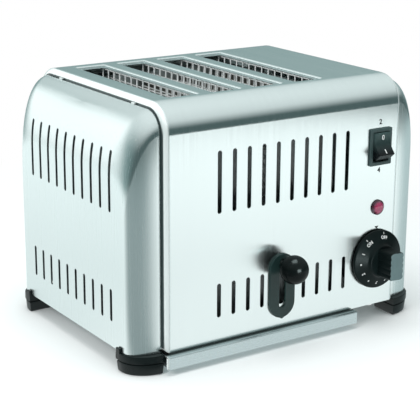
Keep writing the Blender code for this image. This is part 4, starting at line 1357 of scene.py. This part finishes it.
# Crumb tray
def make_tray():
    """A folded pan with a lip whose top is turned back and whose ends are returned."""
    low, high = place_of("crumb_tray")
    front, back = low.y, high.y
    lip_top, lip_back = high.z, -half_depth - tray_lip_gap
    pan_left, pan_right = low.x + tray_overhang, high.x - tray_overhang
    pan_top, pan_floor = foot_height - tray_headroom, foot_height - tray_headroom - tray_depth
    pan = box((pan_left, front + tray_sheet / 2, pan_floor), (pan_right, back, pan_top))
    inside = box(
        (pan_left + tray_sheet, front - overrun, pan_floor + tray_sheet),
        (pan_right - tray_sheet, back - tray_sheet, pan_top + overrun),
    )
    pan = carve(pan, "DIFFERENCE", [inside])
    outer, inner = [(front, low.z)], [(front + tray_sheet, low.z)]
    for y, z in arc(tray_bend_steps):
        for points, radius in ((outer, tray_bend), (inner, tray_bend - tray_sheet)):
            points.append((front + tray_bend - radius * y, lip_top - tray_bend + radius * z))
    outer.append((lip_back, lip_top))
    inner.append((lip_back, lip_top - tray_sheet))
    forms = [prism(outer + inner[::-1], "X", low.x, high.x)]
    for start in (low.x, high.x - tray_sheet):
        forms.append(box(
            (start, front, low.z), (start + tray_sheet, front + tray_return, lip_top - tray_bend)
        ))
    made = soften(carve(pan, "UNION", forms), tray_edge, 2, 50.0)
    piece("folded_tray", made, folded_steel, "tray", "tray_steel", "crumb_tray", angle=40.0)


# Lift spring
def make_coil():
    """The wound spring between the front case plate and the front bar."""
    low, high = place_of("lift_spring")
    x, y, _ = middle_of("lift_spring")
    radius = (high.x - low.x) / 2 - coil_wire
    start, end = low.z + coil_wire, high.z - coil_wire
    count = coil_turns * coil_points
    line = []
    for i, (a, b) in enumerate(arc(count, 0.0, 2 * math.pi * coil_turns)):
        line.append((x + radius * a, y + radius * b, start + (end - start) * i / count))
    mesh = tube(line, coil_wire, coil_sides)
    mesh.transform(Matrix.Translation(shift))
    mesh.materials.append(bright_plate)
    mesh.shade_smooth()
    coil = placed("wound_spring", mesh)
    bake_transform(coil)
    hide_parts("lift_spring")


# Stage
def make_camera():
    forward = Vector((
        math.sin(camera_yaw) * math.cos(camera_pitch),
        math.cos(camera_yaw) * math.cos(camera_pitch),
        math.sin(camera_pitch),
    ))
    right = Vector((math.cos(camera_yaw), -math.sin(camera_yaw), 0))
    up = right.cross(forward)
    across = math.cos(camera_roll) * right + math.sin(camera_roll) * up
    over = -math.sin(camera_roll) * right + math.cos(camera_roll) * up
    data = bpy.data.cameras.new("camera")
    data.lens = camera_lens
    data.sensor_width = camera_sensor
    data.clip_start, data.clip_end = 0.01, 50.0
    camera = placed("camera", data)
    turn = Matrix((across, over, -forward)).transposed().to_4x4()
    camera.matrix_world = Matrix.Translation(camera_place) @ turn
    bpy.context.scene.camera = camera


def toward(made, direction, *heading):
    """How far a direction points along a heading, from -1 to 1."""
    return vector_calculated(made, "DOT_PRODUCT", direction, Vector(heading).normalized())


def heading_from(made, place, start, heading):
    """How far the way from a start point on the floor points along a heading, from -1 to 1."""
    way = node(made, "ShaderNodeVectorMath", {"operation": "SUBTRACT"}, Vector=place)
    way.inputs[1].default_value = (*start, 0)
    direction = node(made, "ShaderNodeVectorMath", {"operation": "NORMALIZE"}, Vector=way.outputs[0])
    return toward(made, direction.outputs[0], *heading, 0)


def make_floor():
    made, shader = new_look("floor", (0.90, 0.91, 0.91), 0.7)
    tree = made.node_tree
    place = node(made, "ShaderNodeTexCoord").outputs["Object"]
    far = vector_calculated(made, "LENGTH", place)
    tone = floor_white
    for start, heading, span, colour in floor_wedges:
        share = past(made, heading_from(made, place, start, heading), *span)
        tone = blend_colours(made, share, tone, colour)
    strength = spread(made, far, *floor_strengths, *floor_strength_span)
    mirrored = node(made, "ShaderNodeEmission", Color=tone, Strength=strength)
    white = node(made, "ShaderNodeEmission", Color=(1, 1, 1, 1), Strength=1.0)
    path = node(made, "ShaderNodeLightPath")
    seen = product(made, past(made, far, *floor_fade), path.outputs["Is Camera Ray"])
    glossy = spread(made, path.outputs["Is Glossy Ray"], 0.0, floor_glossy_share, 0.0, 1.0)
    first = node(made, "ShaderNodeMixShader", Fac=seen)
    tree.links.new(shader.outputs[0], first.inputs[1])
    tree.links.new(white.outputs[0], first.inputs[2])
    second = node(made, "ShaderNodeMixShader", Fac=glossy)
    tree.links.new(first.outputs[0], second.inputs[1])
    tree.links.new(mirrored.outputs[0], second.inputs[2])
    tree.links.new(second.outputs[0], tree.nodes["Material Output"].inputs["Surface"])
    outline = circle(floor_reach, floor_sides, *floor_middle)
    mesh = mesh_of([(u, v, 0.0) for u, v in outline], [list(range(floor_sides))])
    mesh.materials.append(made)
    floor = placed("floor", mesh)
    floor.location.z = -floor_drop


def make_world():
    """Dark walls round a bright ceiling, with one bright wall at the left behind the toaster."""
    world = bpy.data.worlds.new("studio")
    world.use_nodes = True
    bpy.context.scene.world = world
    tree = world.node_tree
    direction = node(world, "ShaderNodeTexCoord").outputs["Generated"]
    apart = node(world, "ShaderNodeSeparateXYZ", Vector=direction)
    wall = blend_colours(world, past(world, apart.outputs["Y"], *wall_span), front_tone, back_tone)
    lower = spread(world, apart.outputs["Z"], 0.0, sky_lower_share, *sky_lower_span)
    upper = spread(world, apart.outputs["Z"], 0.0, 1 - sky_lower_share, *sky_upper_span)
    sky_tone = blend_colours(world, calculated(world, "ADD", lower, upper), wall, sky_white)
    side = past(world, toward(world, direction, *side_heading), *side_span)
    tone = blend_colours(world, side, sky_tone, side_white)
    seen = node(world, "ShaderNodeLightPath").outputs["Is Camera Ray"]
    shown = blend_colours(world, seen, tone, (1.0, 1.0, 1.0))
    sky = tree.nodes["Background"]
    tree.links.new(shown, sky.inputs["Color"])
    sky.inputs["Strength"].default_value = 1.0


def add_light(name, place, target, size, power, *receivers):
    """A soft box. With receivers it lights, and shows as a highlight in, only those pieces."""
    data = bpy.data.lights.new(name, "AREA")
    data.shape = "RECTANGLE"
    data.size, data.size_y = size
    data.energy = power
    data.color = receiver_light if receivers else (1.0, 1.0, 1.0)
    light = placed(name, data)
    turn = (Vector(target) - Vector(place)).to_track_quat("-Z", "Y").to_matrix().to_4x4()
    light.matrix_world = Matrix.Translation(place) @ turn
    light.visible_camera = False
    light.visible_glossy = bool(receivers)
    if receivers:
        group = bpy.data.collections.new(f"{name}_receivers")
        for receiver in receivers:
            group.objects.link(bpy.data.objects[receiver])
        light.light_linking.receiver_collection = group


both_sides = (("left", -1), ("right", 1))
make_camera()
make_floor()
make_world()
dress_cad_nodes()
soften_cad_nodes()
make_wrap()
for name, side in both_sides:
    make_cap(name, side)
for i in range(1, 5):
    for name, side in both_sides:
        make_guard(i, name, side)
make_lever_plate()
make_ball()
make_dial()
make_panel_marks()
make_lamp()
make_switch()
make_rocker()
for name, side in both_sides:
    make_tabs(name, side)
for end, side_y in (("front", -1), ("rear", 1)):
    for name, side in both_sides:
        make_foot(f"{end}_{name}", side, side_y)
make_tray()
make_coil()

ball_place = Vector((lever_x, -ball_aim, knob_z)) + shift
dial_place = Vector((controls_x, -dial_aim, timer_z)) + shift
add_light("overhead", (-0.1, -0.1, 1.3), (0, 0, 0), (0.9, 0.9), 8.0)
add_light("left_fill", (-1.2, -0.5, 0.9), (0, 0, 0.1), (0.5, 0.5), 8.0)
add_light("ball_top", (0.0, -0.1, 1.2), ball_place, (0.7, 0.7), 28.0, "knob_ball")
add_light("ball_front", (0.05, -1.2, 0.22), ball_place, (0.50, 0.36), 20.0, "knob_ball")
add_light("dial_card", (0.03, -0.32, 0.03), dial_place, (0.14, 0.05), 0.6, "dial_moulded")

bpy.context.scene.view_settings.view_transform = "Standard"
